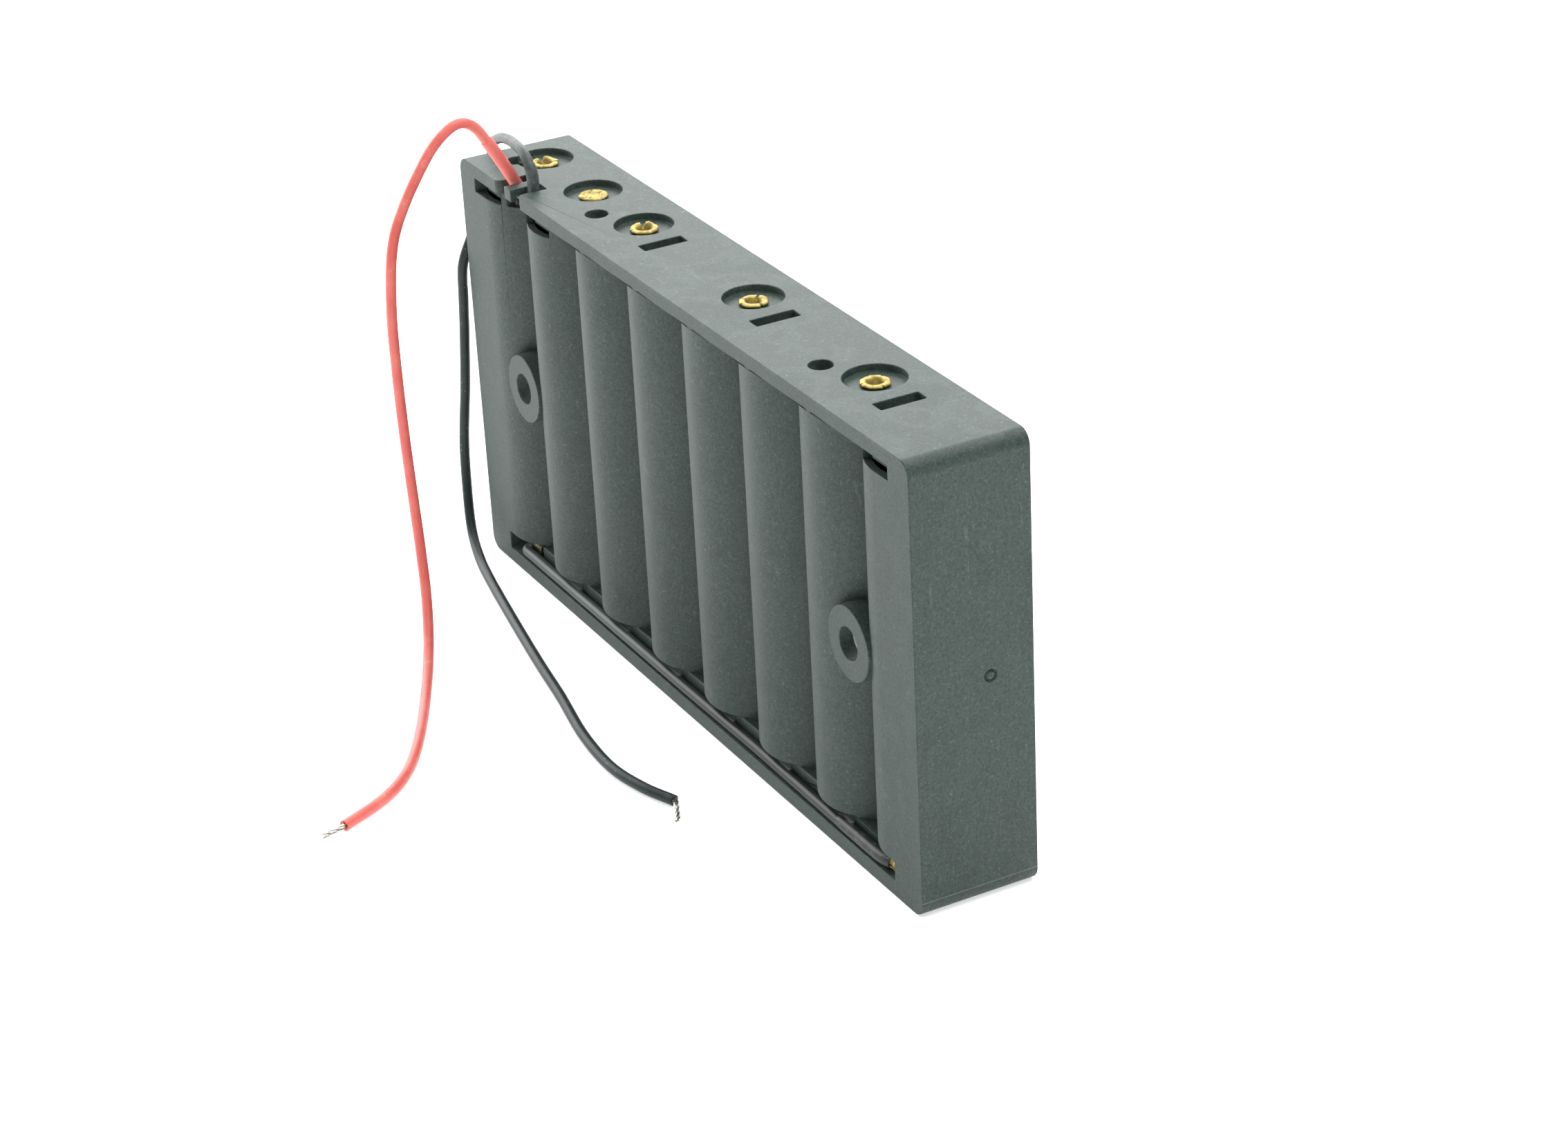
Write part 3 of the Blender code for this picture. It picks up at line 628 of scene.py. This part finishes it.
def add_strands(bm, points, radius, count, twist, spread, seed):
    """Fine wires twisted around one straight one, which part towards their ends. The twist is in radians
    per metre."""
    draw = random.Random(seed)
    length = route_length(points)
    frames = frames_along(points)
    for strand in range(count + 1):
        turn = 2 * math.pi * strand / count
        reach = 0.0 if strand == count else 2.05 * radius
        stop = len(points) - (0 if strand == count else draw.choice((0, 0, 1, 2)))
        lean = draw.uniform(0.3, 1.0) * spread
        path = []
        for index in range(stop):
            share = index / (len(points) - 1)
            angle = turn + twist * share * length
            out = reach + lean * share * share * (0 if strand == count else 1)
            _, side, rise = frames[index]
            path.append(points[index] + side * out * math.cos(angle) + rise * out * math.sin(angle))
        last = len(path) - 1
        add_sweep(bm, path, lambda index: round_ring(radius * (0.7 if index == last else 1), 8))


# Routes of the two free leads, from the notch to the insulation's end.
RED_ROUTE = (
    (-0.0489, -0.0055, 0.0604), (-0.0490, -0.0062, 0.0620), (-0.0490, -0.0077, 0.0649),
    (-0.0490, -0.0099, 0.0687), (-0.0490, -0.0116, 0.0711), (-0.0489, -0.0137, 0.0721),
    (-0.0487, -0.0162, 0.0712), (-0.0483, -0.0192, 0.0686), (-0.0477, -0.0236, 0.0624),
    (-0.0470, -0.0262, 0.0568), (-0.0460, -0.0276, 0.0481), (-0.0450, -0.0281, 0.0391),
    (-0.0440, -0.0283, 0.0299), (-0.0425, -0.0285, 0.0207), (-0.0407, -0.0289, 0.0140),
    (-0.0375, -0.0300, 0.0083), (-0.0325, -0.0323, 0.0038), (-0.0252, -0.0361, 0.0011),
    (-0.0134, -0.0424, 0.0008), (-0.0054, -0.0477, 0.0008), (-0.0004, -0.0533, 0.0008),
    (0.0032, -0.0604, 0.0008),
)
RED_END = (0.0037, -0.0637, 0.0005)
BLACK_ROUTE = (
    (-0.04465, -0.0053, 0.0604), (-0.0446, -0.0053, 0.0625), (-0.0450, -0.0052, 0.0642),
    (-0.0463, -0.0051, 0.0654), (-0.0483, -0.0049, 0.0662), (-0.0510, -0.0046, 0.0663),
    (-0.0544, -0.0042, 0.0660), (-0.0580, -0.0037, 0.0651), (-0.0612, -0.0032, 0.0638),
    (-0.0633, -0.0028, 0.0627), (-0.0642, -0.0029, 0.0602), (-0.0643, -0.0037, 0.0570),
    (-0.0644, -0.0052, 0.0525), (-0.0644, -0.0070, 0.0488), (-0.0647, -0.0086, 0.0446),
    (-0.0654, -0.0087, 0.0391), (-0.0662, -0.0087, 0.0334), (-0.0671, -0.0090, 0.0247),
    (-0.0679, -0.0096, 0.0159), (-0.0666, -0.0104, 0.0090), (-0.0634, -0.0116, 0.0035),
    (-0.0580, -0.0130, 0.0013), (-0.0505, -0.0146, 0.0008), (-0.0354, -0.0175, 0.0008),
    (-0.0226, -0.0198, 0.0008), (-0.0128, -0.0214, 0.0008), (-0.0010, -0.0236, 0.0008),
    (0.0087, -0.0243, 0.0008), (0.0158, -0.0232, 0.0008), (0.0212, -0.0213, 0.0008),
)
BLACK_END = (0.0258, -0.0232, 0.0005)


def make_sleeve(name, path, length, radius, material, nodes):
    """Heat-shrunk sleeve over the start of a lead, drawn in a little at its end."""
    stretch = first_stretch(path, length)
    count = len(stretch)
    bm = bmesh.new()

    def outline(index):
        if index == 0:
            return round_ring(radius * 0.9, WIRE_SIDES)
        near_end = max(0, index - (count - 4)) / 3
        ripple = 0.012 * math.sin(index * 1.3)
        return round_ring(radius * (1 + ripple - 0.10 * near_end ** 2), WIRE_SIDES)

    add_sweep(bm, stretch, outline)
    return finish_piece(to_object(bm, name), material, nodes)


STRAND_RADIUS, STRAND_COUNT, STRAND_TWIST, STRAND_SPREAD = 0.00012, 6, 900, 0.00006
STRIPPED_BACK = 0.0012            # how far the strands reach into the insulation


def make_lead(colour, route, end, sleeve_radius, sleeve_length, material, ragged):
    """A free lead: sleeve at the notch, insulated wire, twisted bare strands."""
    path = smooth_route(route, 0.00055)
    sleeve = make_sleeve(f"{colour}_sleeve", path, sleeve_length, sleeve_radius, material,
                         [f"{colour}_lead_sleeve"])
    bm = bmesh.new()
    add_insulation(bm, path, WIRE, len(colour), ragged)
    wire = finish_piece(to_object(bm, f"{colour}_wire"), material, [f"{colour}_lead"])
    direction = (path[-1] - path[-2]).normalized()
    start = path[-1] - direction * STRIPPED_BACK
    bare_path = smooth_route((start, path[-1], path[-1] + direction * 0.0003, end), 0.00022)
    bm = bmesh.new()
    add_strands(bm, bare_path, STRAND_RADIUS, STRAND_COUNT, STRAND_TWIST, STRAND_SPREAD, len(colour))
    bare = finish_piece(to_object(bm, f"{colour}_strands"), TIN, [f"{colour}_lead_bare_end"])


make_lead("red", RED_ROUTE, RED_END, 0.00090, 0.0095, RED, 0.00025)
make_lead("black", BLACK_ROUTE, BLACK_END, 0.00086, 0.0050, BLACK, 0.00004)


# ---- tray -----------------------------------------------------------------------------------------
def long_outline():
    """The block's rounded rectangle in XZ."""
    side = WIDTH / 2 - OUTER_CORNER
    high = HEIGHT - OUTER_CORNER
    points = []
    for centre, start in (((side, OUTER_CORNER), -90), ((side, high), 0), ((-side, high), 90),
                          ((-side, OUTER_CORNER), 180)):
        points += arc(centre, OUTER_CORNER, start, start + 90, 12)
    return points


def valley_outline():
    """The space behind the columns in XY: open at the back, bounded by their round shells."""
    spread = math.degrees(math.asin(PITCH / 2 / SHELL_RADIUS))
    points = [(bay_x(BAYS), BACK - PAST), (bay_x(1), BACK - PAST)]
    for bay in range(1, BAYS + 1):
        start = -90 if bay == 1 else -90 - spread
        end = -90 if bay == BAYS else -90 + spread
        steps = 16 if bay in (1, BAYS) else 32
        curve = arc((bay_x(bay), CELL_AXIS), SHELL_RADIUS, start, end, steps)
        points += curve if bay == 1 else curve[1:]
    return points


def bay_outline(bay):
    """A cell's round bed in XY, open to the front."""
    bed = arc((bay_x(bay), CELL_AXIS), BAY_RADIUS, 180, 360, 48)
    return bed + [(bay_x(bay) + BAY_RADIUS, FRONT + PAST), (bay_x(bay) - BAY_RADIUS, FRONT + PAST)]


def notch_outline():
    """The wire notch in XY, with rounded corners where it meets the back."""
    half, lip = NOTCH_HALF, NOTCH_LIP
    right = arc((NOTCH_X + half + lip, BACK + lip), lip, 180, 270, 10)
    left = arc((NOTCH_X - half - lip, BACK + lip), lip, 270, 360, 10)
    outside = [(NOTCH_X - half - lip, BACK - PAST), (NOTCH_X + half + lip, BACK - PAST)]
    inner = [(NOTCH_X + half, BACK + NOTCH_DEPTH), (NOTCH_X - half, BACK + NOTCH_DEPTH)]
    return outside + right[::-1] + inner + left[::-1]


def rivet_holes():
    """A round recess with a hole through the wall, for each rivet."""
    through = -0.0046
    bm = bmesh.new()
    for bays, level, out in ((TOP_RIVETS, HEIGHT, 1), (BOTTOM_RIVETS, 0.0, -1)):
        for bay in bays:
            profile = ((0, PAST), (RECESS_RADIUS, PAST), (RECESS_RADIUS, -RECESS_DEPTH),
                       (RIVET_HOLE_RADIUS, -RECESS_DEPTH), (RIVET_HOLE_RADIUS, through), (0, through))
            add_turned(bm, [(r, h * out) for r, h in profile], (bay_x(bay), RIVET_Y, level))
    return bm


def back_cut(bm, x_low, x_high, z_low, z_high, depth):
    """A box cut into the back, to a depth from its surface."""
    add_box(bm, (x_low, BACK - PAST, z_low), (x_high, BACK + depth, z_high))


def tray_steps():
    """What is added to and taken from the block, in order."""
    boss_places = (wall_x(1), wall_x(BAYS - 1))

    # the valleys between the columns, the bosses, the cell beds
    bm = bmesh.new()
    add_prism(bm, valley_outline(), CHANNEL_TOP, CEILING)
    yield "DIFFERENCE", bm

    bm = bmesh.new()
    for x in boss_places:
        add_rod(bm, BOSS_RADIUS, (x, BACK, BOSS_Z), 0, BOSS_LENGTH, axis="y", steps=64)
    yield "UNION", bm

    bm = bmesh.new()
    for bay in range(1, BAYS + 1):
        add_prism(bm, bay_outline(bay), FLOOR, CEILING)
    yield "DIFFERENCE", bm

    # the open front above the partitions, the wire channel
    bm = bmesh.new()
    inside = bay_x(BAYS) + BAY_RADIUS
    add_box(bm, (-inside, PARTITION_FRONT, FLOOR), (inside, FRONT + PAST, CEILING))
    back_cut(bm, -CHANNEL_END, CHANNEL_END, FLOOR, CHANNEL_TOP, CHANNEL_DEPTH)
    yield "DIFFERENCE", bm

    # the windows under the top wall, the deeper channel at the crimps and at the spring of bay 7
    bm = bmesh.new()
    for bay in WINDOW_BAYS:
        x = bay_x(bay)
        back_cut(bm, x - WINDOW_HALF, x + WINDOW_HALF, WINDOW_FLOOR, CEILING, WINDOW_DEPTH)
    back_cut(bm, -CHANNEL_END, bay_x(1) + 0.0058, FLOOR, CHANNEL_TOP, CRIMP_BED_DEPTH)
    back_cut(bm, bay_x(BAYS) - 0.0040, CHANNEL_END, FLOOR, CHANNEL_TOP - 0.0001, CRIMP_BED_DEPTH)
    back_cut(bm, bay_x(7) - 0.0036, bay_x(7) + 0.0040, FLOOR, CHANNEL_TOP - 0.0002, BED_7_DEPTH)
    yield "DIFFERENCE", bm

    bm = bmesh.new()
    add_prism(bm, notch_outline(), CEILING - 0.0005, HEIGHT + PAST)
    yield "DIFFERENCE", bm

    # the room under the notch, the ejector pin holes
    bm = bmesh.new()
    room = 0.00335
    back_cut(bm, NOTCH_X - room, NOTCH_X + room, WINDOW_FLOOR, CEILING - 0.0001, NOTCH_DEPTH)
    for x in PIN_HOLES:
        add_rod(bm, PIN_HOLE_RADIUS, (x, PIN_HOLE_Y, 0), WINDOW_FLOOR, HEIGHT + PAST)
    yield "DIFFERENCE", bm

    # the slots through which the bridges cross the partitions
    bm = bmesh.new()
    across, along = 0.0011, 0.0032
    for bays, low, high in ((TOP_BRIDGES, CEILING - 0.0010, HEIGHT + PAST),
                            (BOTTOM_BRIDGES, -PAST, FLOOR + 0.0010)):
        for bay in bays:
            x, y = wall_x(bay), BRIDGE_Y
            add_box(bm, (x - across, y - along, low), (x + across, y + along, high))
    yield "DIFFERENCE", bm

    # the screw holes, countersunk from inside the bays
    bm = bmesh.new()
    for x in boss_places:
        profile = ((0, -PAST), (SCREW_RADIUS, -PAST), (SCREW_RADIUS, 0.0020), (0.0040, 0.0030),
                   (0.0042, 0.0030), (0.0042, DEPTH), (0, DEPTH))
        add_turned(bm, profile, (x, BACK, BOSS_Z), axis="y")
    yield "DIFFERENCE", bm

    yield "DIFFERENCE", rivet_holes()

    # the mould gate's ring on the end face
    bm = bmesh.new()
    inner, outer = 0.00060, 0.00082
    low, high = WIDTH / 2 - 0.00012, WIDTH / 2 + PAST
    add_ring(bm, ((inner, low), (inner, high), (outer, high), (outer, low)), (0, 0.0022, 0.0311), 32)
    yield "DIFFERENCE", bm

    # the hook between the two leads
    bm = bmesh.new()
    reach, thick, drop = 0.0056, 0.001, 0.0018
    outline = ((BACK, HEIGHT - drop), (BACK + thick, HEIGHT - drop), (BACK + thick, HEIGHT - thick),
               (BACK + reach, HEIGHT - thick), (BACK + reach, HEIGHT), (BACK, HEIGHT))
    add_prism(bm, outline, NOTCH_X - HOOK_HALF, NOTCH_X + HOOK_HALF, axis="x")
    yield "UNION", bm


def make_tray():
    bm = bmesh.new()
    add_prism(bm, long_outline(), BACK, FRONT, axis="y")
    tray = to_object(bm, "tray_moulding")
    carve(tray, list(tray_steps()))
    soften(tray, 0.00014)
    finish_piece(tray, PLASTIC, ["tray"], smooth=50)


make_tray()


# ---- contacts -------------------------------------------------------------------------------------
def pad_outline(bay):
    """A plate for one bay, with its two back corners cut off."""
    x = bay_x(bay)
    half, back, front, corner = 0.0050, BACK + 0.0037, BACK + 0.0140, 0.0012
    return [(x - half, front), (x - half, back + corner), (x - half + corner, back),
            (x + half - corner, back), (x + half, back + corner), (x + half, front)]


def bridge_outline(bay):
    """A plate for a bay and the next one, joined by a narrow strip."""
    middle, half = BRIDGE_Y, 0.0029
    left, right = pad_outline(bay), pad_outline(bay + 1)
    low = [(left[4][0], middle - half), (right[1][0], middle - half)]
    high = [(right[1][0], middle + half), (left[4][0], middle + half)]
    return left[:5] + low + right[1:] + [right[0]] + high + [left[5]]


def make_plate(name, outline, top, bays_with_rivet, bays_with_spring, tail=None):
    """A stamped contact plate: rivet holes, tabs pressed up to hold a spring's first turn, rounded edges."""
    low = CEILING - GAP - PLATE if top else FLOOR + GAP
    out = -1 if top else 1
    bm = bmesh.new()
    add_prism(bm, outline, low, low + PLATE)
    plate = to_object(bm, name)
    steps = []
    bm = bmesh.new()
    for bay in bays_with_rivet:
        add_rod(bm, RIVET_HOLE_RADIUS, (bay_x(bay), RIVET_Y, 0), low - PAST, low + PAST, steps=32)
    steps.append(("DIFFERENCE", bm))
    bm = bmesh.new()
    face = low if top else low + PLATE
    for bay in bays_with_spring:
        for angle in (48, 132, 228, 312):
            cos, sin = math.cos(math.radians(angle)), math.sin(math.radians(angle))
            for reach, half, start, end in ((0.0050, 0.0005, -0.0001, 0.0011),
                                            (0.0053, 0.0009, 0.00095, 0.0012)):
                x, y = bay_x(bay) + reach * cos, CELL_AXIS + reach * sin
                heights = sorted((face + out * start, face + out * end))
                add_box(bm, (x - half, y - half, heights[0]), (x + half, y + half, heights[1]))
    if tail:
        add_box(bm, (tail[0], tail[1], low), (tail[2], tail[3], low + PLATE))
    steps.append(("UNION", bm))
    carve(plate, steps)
    soften(plate, 0.00006, 1, clamp=True)
    finish_piece(plate, NICKEL, [name], smooth=35)


def away(angle, target):
    """How far an angle in degrees lies from another, from 0 to 180."""
    return abs((angle - target + 180) % 360 - 180)


# The eyelets' rolled rims. Cuts are (angle, depth as a share of the rim, half width), flaps that stand up
# are (angle, half width, rise in metres); angles are in degrees.
RIMS = {
    1: {"cuts": ((177, 1.0, 17), (62, 0.9, 7), (310, 0.25, 5)),
        "flaps": ((150, 30, 0.00030), (206, 24, 0.00022))},
    2: None,
    3: {"cuts": ((160, 1.0, 15), (265, 0.45, 5), (45, 0.40, 5)),
        "flaps": ((128, 30, 0.00034), (192, 28, 0.00026))},
    5: {"cuts": ((129, 1.0, 8), (5, 1.0, 6), (272, 0.35, 5), (213, 0.10, 4)),
        "flaps": ((100, 26, 0.00016),)},
    7: {"cuts": ((180, 0.30, 5), (122, 0.35, 5), (264, 0.35, 5), (3, 0.35, 5), (85, 0.08, 4)),
        "flaps": ()},
}
# Sections of the two kinds of rim, as (radius, height above the recess).
OPEN_RIM = ((0, -0.00110), (0.00060, -0.00110), (0.00074, -0.0007), (0.00084, -0.0003), (0.00096, 0.00004),
            (0.00106, 0.00028), (0.00117, 0.00042), (0.00130, 0.00050), (0.00146, 0.00052),
            (0.00166, 0.00051), (0.00186, 0.00047), (0.00200, 0.00038), (0.00206, 0.00027),
            (0.00204, 0.00017), (0.00192, 0.00013), (0.0016, 0.00007), (0.00122, 0.0))
CLOSED_RIM = ((0, 0.00030), (0.00015, 0.00030), (0.0003, 0.00031), (0.00045, 0.00029), (0.0006, 0.00030),
              (0.00075, 0.00029), (0.0009, 0.00032), (0.00106, 0.00042), (0.00120, 0.00044),
              (0.00130, 0.00037), (0.00140, 0.00037), (0.00150, 0.00043), (0.00170, 0.00043),
              (0.00188, 0.00039), (0.00203, 0.00029), (0.00207, 0.00019), (0.00200, 0.00010),
              (0.0016, 0.00004), (0.0012, 0.0))
RIM_THROAT = 0.00115              # radius at which a rim starts to roll outwards


def make_rivet(bay, top, rim, seed):
    """An eyelet: rim rolled outwards and more or less split, shank, domed head inside the bay."""
    level, out = (HEIGHT, 1) if top else (0.0, -1)
    wall = 0.0020 if top else 0.0022
    seat = -RECESS_DEPTH + 0.00002
    head = -wall - GAP - PLATE - 0.00002
    outside = OPEN_RIM if rim else CLOSED_RIM
    inside = ((0.0012, head), (0.0022, head), (0.0025, head - 0.00004), (0.0026, head - 0.00018),
              (0.0025, head - 0.00036), (0.0022, head - 0.00056), (0.0017, head - 0.00074),
              (0.0011, head - 0.00085), (0.0005, head - 0.00090), (0, head - 0.00091))
    profile = [(radius, seat + height) for radius, height in outside] + list(inside)

    def shape(angle, radius, height):
        rise = height - seat
        if rise < 0.0 or radius < 0.0009 and rim:
            return radius, height * out
        turn = math.degrees(angle)
        place = Vector((math.cos(angle) * 1.4, math.sin(angle) * 1.4, seed))
        edge = min(1.0, max(0.0, (radius - RIM_THROAT) / 0.00080))
        if not rim:
            dent = Vector((place.x * radius * 3200, place.y * radius * 3200, seed))
            lump = 0.00012 * noise.noise(dent)
            return radius * (1 + 0.018 * noise.noise(place * 2)), (height + lump * (rise > 0.0003)) * out
        corner = (turn - 85) % 45 - 22.5
        flat = math.cos(math.radians(22.5)) / math.cos(math.radians(corner))
        reach = radius * (1 - edge * 0.8 * (1 - flat) + edge * 0.012 * noise.noise(place * 2))
        for target, depth, width in rim["cuts"]:
            cut = depth * max(0.0, 1 - away(turn, target) / width) ** 0.7
            if radius > RIM_THROAT:
                reach = RIM_THROAT + (reach - RIM_THROAT) * (1 - cut * 0.96)
            rise *= 1 - 0.85 * cut * (depth > 0.8)
        for target, width, lift in rim["flaps"]:
            share = max(0.0, 1 - away(turn, target) / width) ** 0.6
            rise += lift * share * min(1.0, rise / 0.0003) * (0.35 + 0.65 * edge)
            reach -= 0.00022 * share * edge * lift / 0.0003
        return reach, (seat + rise) * out

    bm = bmesh.new()
    add_turned(bm, profile, (bay_x(bay), RIVET_Y, level), steps=144, shape=shape)
    name = f"{'top' if top else 'bottom'}_rivet_{bay}"
    finish_piece(to_object(bm, name + "_eyelet"), BRASS, [name], smooth=48)


def make_spring(bay, top):
    """A conical contact spring that narrows from its plate to its loose end."""
    out = -1 if top else 1
    seat = CEILING - GAP - PLATE if top else FLOOR + GAP + PLATE
    base = seat + out * 0.0006
    turns, steps = 4.5, 30
    points = []
    for step in range(int(turns * steps) + 1):
        share = step / (turns * steps)
        radius = 0.0057 - 0.0025 * share
        angle = 2 * math.pi * turns * share
        height = base + out * SPRING_RISE * (1 - math.cos(math.pi * share)) / 2
        x, y = bay_x(bay) + radius * math.cos(angle), CELL_AXIS + radius * math.sin(angle)
        points.append(Vector((x, y, height)))
    last = len(points) - 1
    bm = bmesh.new()
    add_sweep(bm, points, lambda index: round_ring(SPRING_WIRE * (0.75 if index in (0, last) else 1), 10))
    spring = to_object(bm, f"contact_spring_{bay}")
    finish_piece(spring, STEEL, [f"spring_{bay}", f"spring_tip_{bay}"], body=None, smooth=60)
    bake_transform(spring)


def make_crimp(name, centre, length, axis, material, radius=0.00085, hollow=0.0):
    """A rolled barrel with its seam, pinched at the middle onto the strands. hollow is the share of its
    length that the strands leave empty."""
    rows = 13
    sides = 28
    gap = 0.22
    wall = 0.00018
    bm = bmesh.new()
    direction = {"x": Vector((1, 0, 0)), "z": Vector((0, 0, 1))}[axis]
    side = Vector((0, -1, 0))
    rise = direction.cross(side)
    rings = []
    for row in range(rows):
        share = row / (rows - 1)
        pinch = 1 - 0.12 * math.exp(-((share - 0.5) / 0.2) ** 2)
        flare = 1 + 0.05 * abs(2 * share - 1) ** 6
        along = (share - 0.5) * length
        outer, inner = [], []
        for step in range(sides + 1):
            angle = gap + (2 * math.pi - 2 * gap) * step / sides
            roll = 0.00016 * math.exp(-(min(step, sides - step) / 3.0) ** 2)
            for target, size in ((outer, radius), (inner, radius - wall)):
                reach = size * pinch * flare - roll
                target.append(Vector(centre) + direction * along + side * reach * math.cos(angle)
                              + rise * reach * math.sin(angle))
        rings.append([bm.verts.new(point) for point in outer + inner[::-1]])
    faces = [bm.faces.new(rings[0]), bm.faces.new(rings[-1][::-1])]
    faces += bridge_rings(bm, rings)
    bmesh.ops.recalc_face_normals(bm, faces=faces)
    reach = length * (0.96 - hollow)
    core = [Vector(centre) + direction * (share * reach - length * 0.48)
            for share in (0.0, 0.25, 0.5, 0.75, 1.0)]
    add_strands(bm, core, radius * 0.19, STRAND_COUNT, 500, 0.0, 3)
    finish_piece(to_object(bm, name + "_barrel"), material, [name], smooth=45)


def make_jumper():
    """The wire that joins the outermost bays: a U-turn at the first, along the channel, to the last."""
    lane, height = BACK + WIRE + 0.0001, FLOOR + WIRE + 0.00004
    crimp = (bay_x(1) + 0.0038, BACK + 0.0025, height + 0.0006)
    bend = (crimp[1] - lane) / 2
    turn = bay_x(1) + 0.0016 + bend
    sleeve_start = bay_x(BAYS) - 0.0136
    path = [Vector((crimp[0] - into, crimp[1], crimp[2])) for into in (0.0008, 0.0013)]
    for step, (x, y) in enumerate(arc((turn, lane + bend), bend, 90, 270, 16)):
        path.append(Vector((x, y, crimp[2] + (height - crimp[2]) * step / 16)))
    start = path[-1].x
    count = 90
    for step in range(1, count + 1):
        x = start + (sleeve_start + 0.001 - start) * step / count
        sway = abs(0.00006 * noise.noise(Vector((x * 90, 3.0, 0.0))))
        bow = 0.00018 * math.exp(-((x - 0.019) / 0.016) ** 2)
        path.append(Vector((x, lane + bow, height + sway)))
    last = len(path) - 1
    bm = bmesh.new()
    add_sweep(bm, path, lambda index: round_ring(WIRE * (0.9 if index in (0, last) else 1), WIRE_SIDES))
    finish_piece(to_object(bm, "jumper_wire_run"), SCRAPED_AND_SHEEN, ["jumper_wire"])
    make_crimp("jumper_crimp_1", crimp, 0.0020, "x", BRONZED)

    radius = 0.00090
    lane, height = BACK + radius + 0.00002, FLOOR + radius + 0.00002
    crimp = (bay_x(BAYS) - 0.0003, BACK + 0.0013, height)
    end = crimp[0] - 0.0006
    route = ((sleeve_start, lane, height), (end - 0.003, lane, height), (end, crimp[1], height))
    path = smooth_route(route, 0.0004)
    last = len(path) - 1

    def outline(index):
        ends = {0: 0.90, 1: 0.97, last - 1: 0.98, last: 0.90}.get(index, 1.0)
        wave = 0.03 * noise.noise(Vector((index * 0.3, 9.0, 0.0)))
        return round_ring(radius * ends * (1 + wave), WIRE_SIDES)

    bm = bmesh.new()
    add_sweep(bm, path, outline)
    finish_piece(to_object(bm, "jumper_sleeve_run"), SCRAPED_AND_SHEEN, ["jumper_sleeve"])
    make_crimp("jumper_crimp_8", crimp, 0.0014, "x", BRASS, 0.00076, hollow=0.62)


def make_contacts():
    """All plates, rivets, springs, the jumper and the leads' crimps."""
    near, far, back, front = 0.0042, 0.0064, BACK + 0.0024, BACK + 0.0062
    make_plate("positive_terminal_plate", pad_outline(1), True, [1], [],
               tail=(bay_x(1) + near, back, bay_x(1) + far, front))
    make_plate("negative_terminal_plate", pad_outline(2), True, [2], [2],
               tail=(bay_x(2) - far, back, bay_x(2) - near, front))
    make_plate("jumper_plate_1", pad_outline(1), False, [1], [1])
    make_plate("jumper_plate_8", pad_outline(8), False, [8], [])
    for bay in TOP_BRIDGES:
        make_plate(f"top_bridge_{bay}_{bay + 1}", bridge_outline(bay), True, [bay], [bay + 1])
    for bay in BOTTOM_BRIDGES:
        make_plate(f"bottom_bridge_{bay}_{bay + 1}", bridge_outline(bay), False, [bay], [bay + 1])
    for bay in TOP_RIVETS:
        make_rivet(bay, True, RIMS[bay], 10 + bay)
    for bay, like in zip(BOTTOM_RIVETS, (7, 5, 3, 7, 5)):
        make_rivet(bay, False, RIMS[like], 30 + bay)
    for bay in BOTTOM_SPRINGS:
        make_spring(bay, False)
    for bay in TOP_SPRINGS:
        make_spring(bay, True)
    make_jumper()
    # the leads' crimps take the nearly black tin, which is partly painted shade
    for name, route in (("positive_crimp", RED_ROUTE), ("negative_crimp", BLACK_ROUTE)):
        place = (*route[0][:2], CEILING - 0.0008)
        make_crimp(name, place, 0.0016, "z", DARK_TIN_AND_SHADE, radius=0.0006)


make_contacts()


# ---- floor and light ------------------------------------------------------------------------------
def make_floor():
    bm = bmesh.new()
    add_box(bm, (-2.5, -2.5, -0.01), (2.5, 2.5, -0.00002))
    floor = to_object(bm, "floor")
    paper = Finish("white_paper", Roughness=0.8, Specular_IOR_Level=0.1, Emission_Strength=0.55,
                   Emission_Color=(1.0, 1.0, 1.0, 1.0))
    floor.data.materials.append(paper.set(Base_Color=(0.90, 0.90, 0.90)))


def add_light(name, place, aim, power, size):
    data = bpy.data.lights.new(name, "AREA")
    data.shape = "RECTANGLE"
    data.size, data.size_y = size
    data.energy = power
    light = bpy.data.objects.new(name, data)
    light.location = place
    light.rotation_mode = "QUATERNION"
    light.rotation_quaternion = (Vector(aim) - Vector(place)).to_track_quat("-Z", "Y")
    bpy.context.scene.collection.objects.link(light)


def make_lights():
    """Three soft panels and a pale surround. Powers are in watts and sizes in metres."""
    world = bpy.data.worlds.new("studio")
    world.use_nodes = True
    surround = world.node_tree.nodes["Background"].inputs
    surround["Color"].default_value = (0.96, 1.0, 0.97, 1.0)
    surround["Strength"].default_value = 0.44
    bpy.context.scene.world = world
    bpy.context.scene.view_settings.view_transform = "Standard"
    middle = (0.0, 0.0, 0.03)
    add_light("overhead", (0.05, 0.45, 1.45), middle, 29, (1.8, 1.4))
    add_light("left", (-1.25, -0.42, 0.62), middle, 21, (1.2, 1.1))
    add_light("far_panel", (-1.3, 0.70, 0.75), middle, 16, (1.2, 0.8))


make_floor()
make_lights()
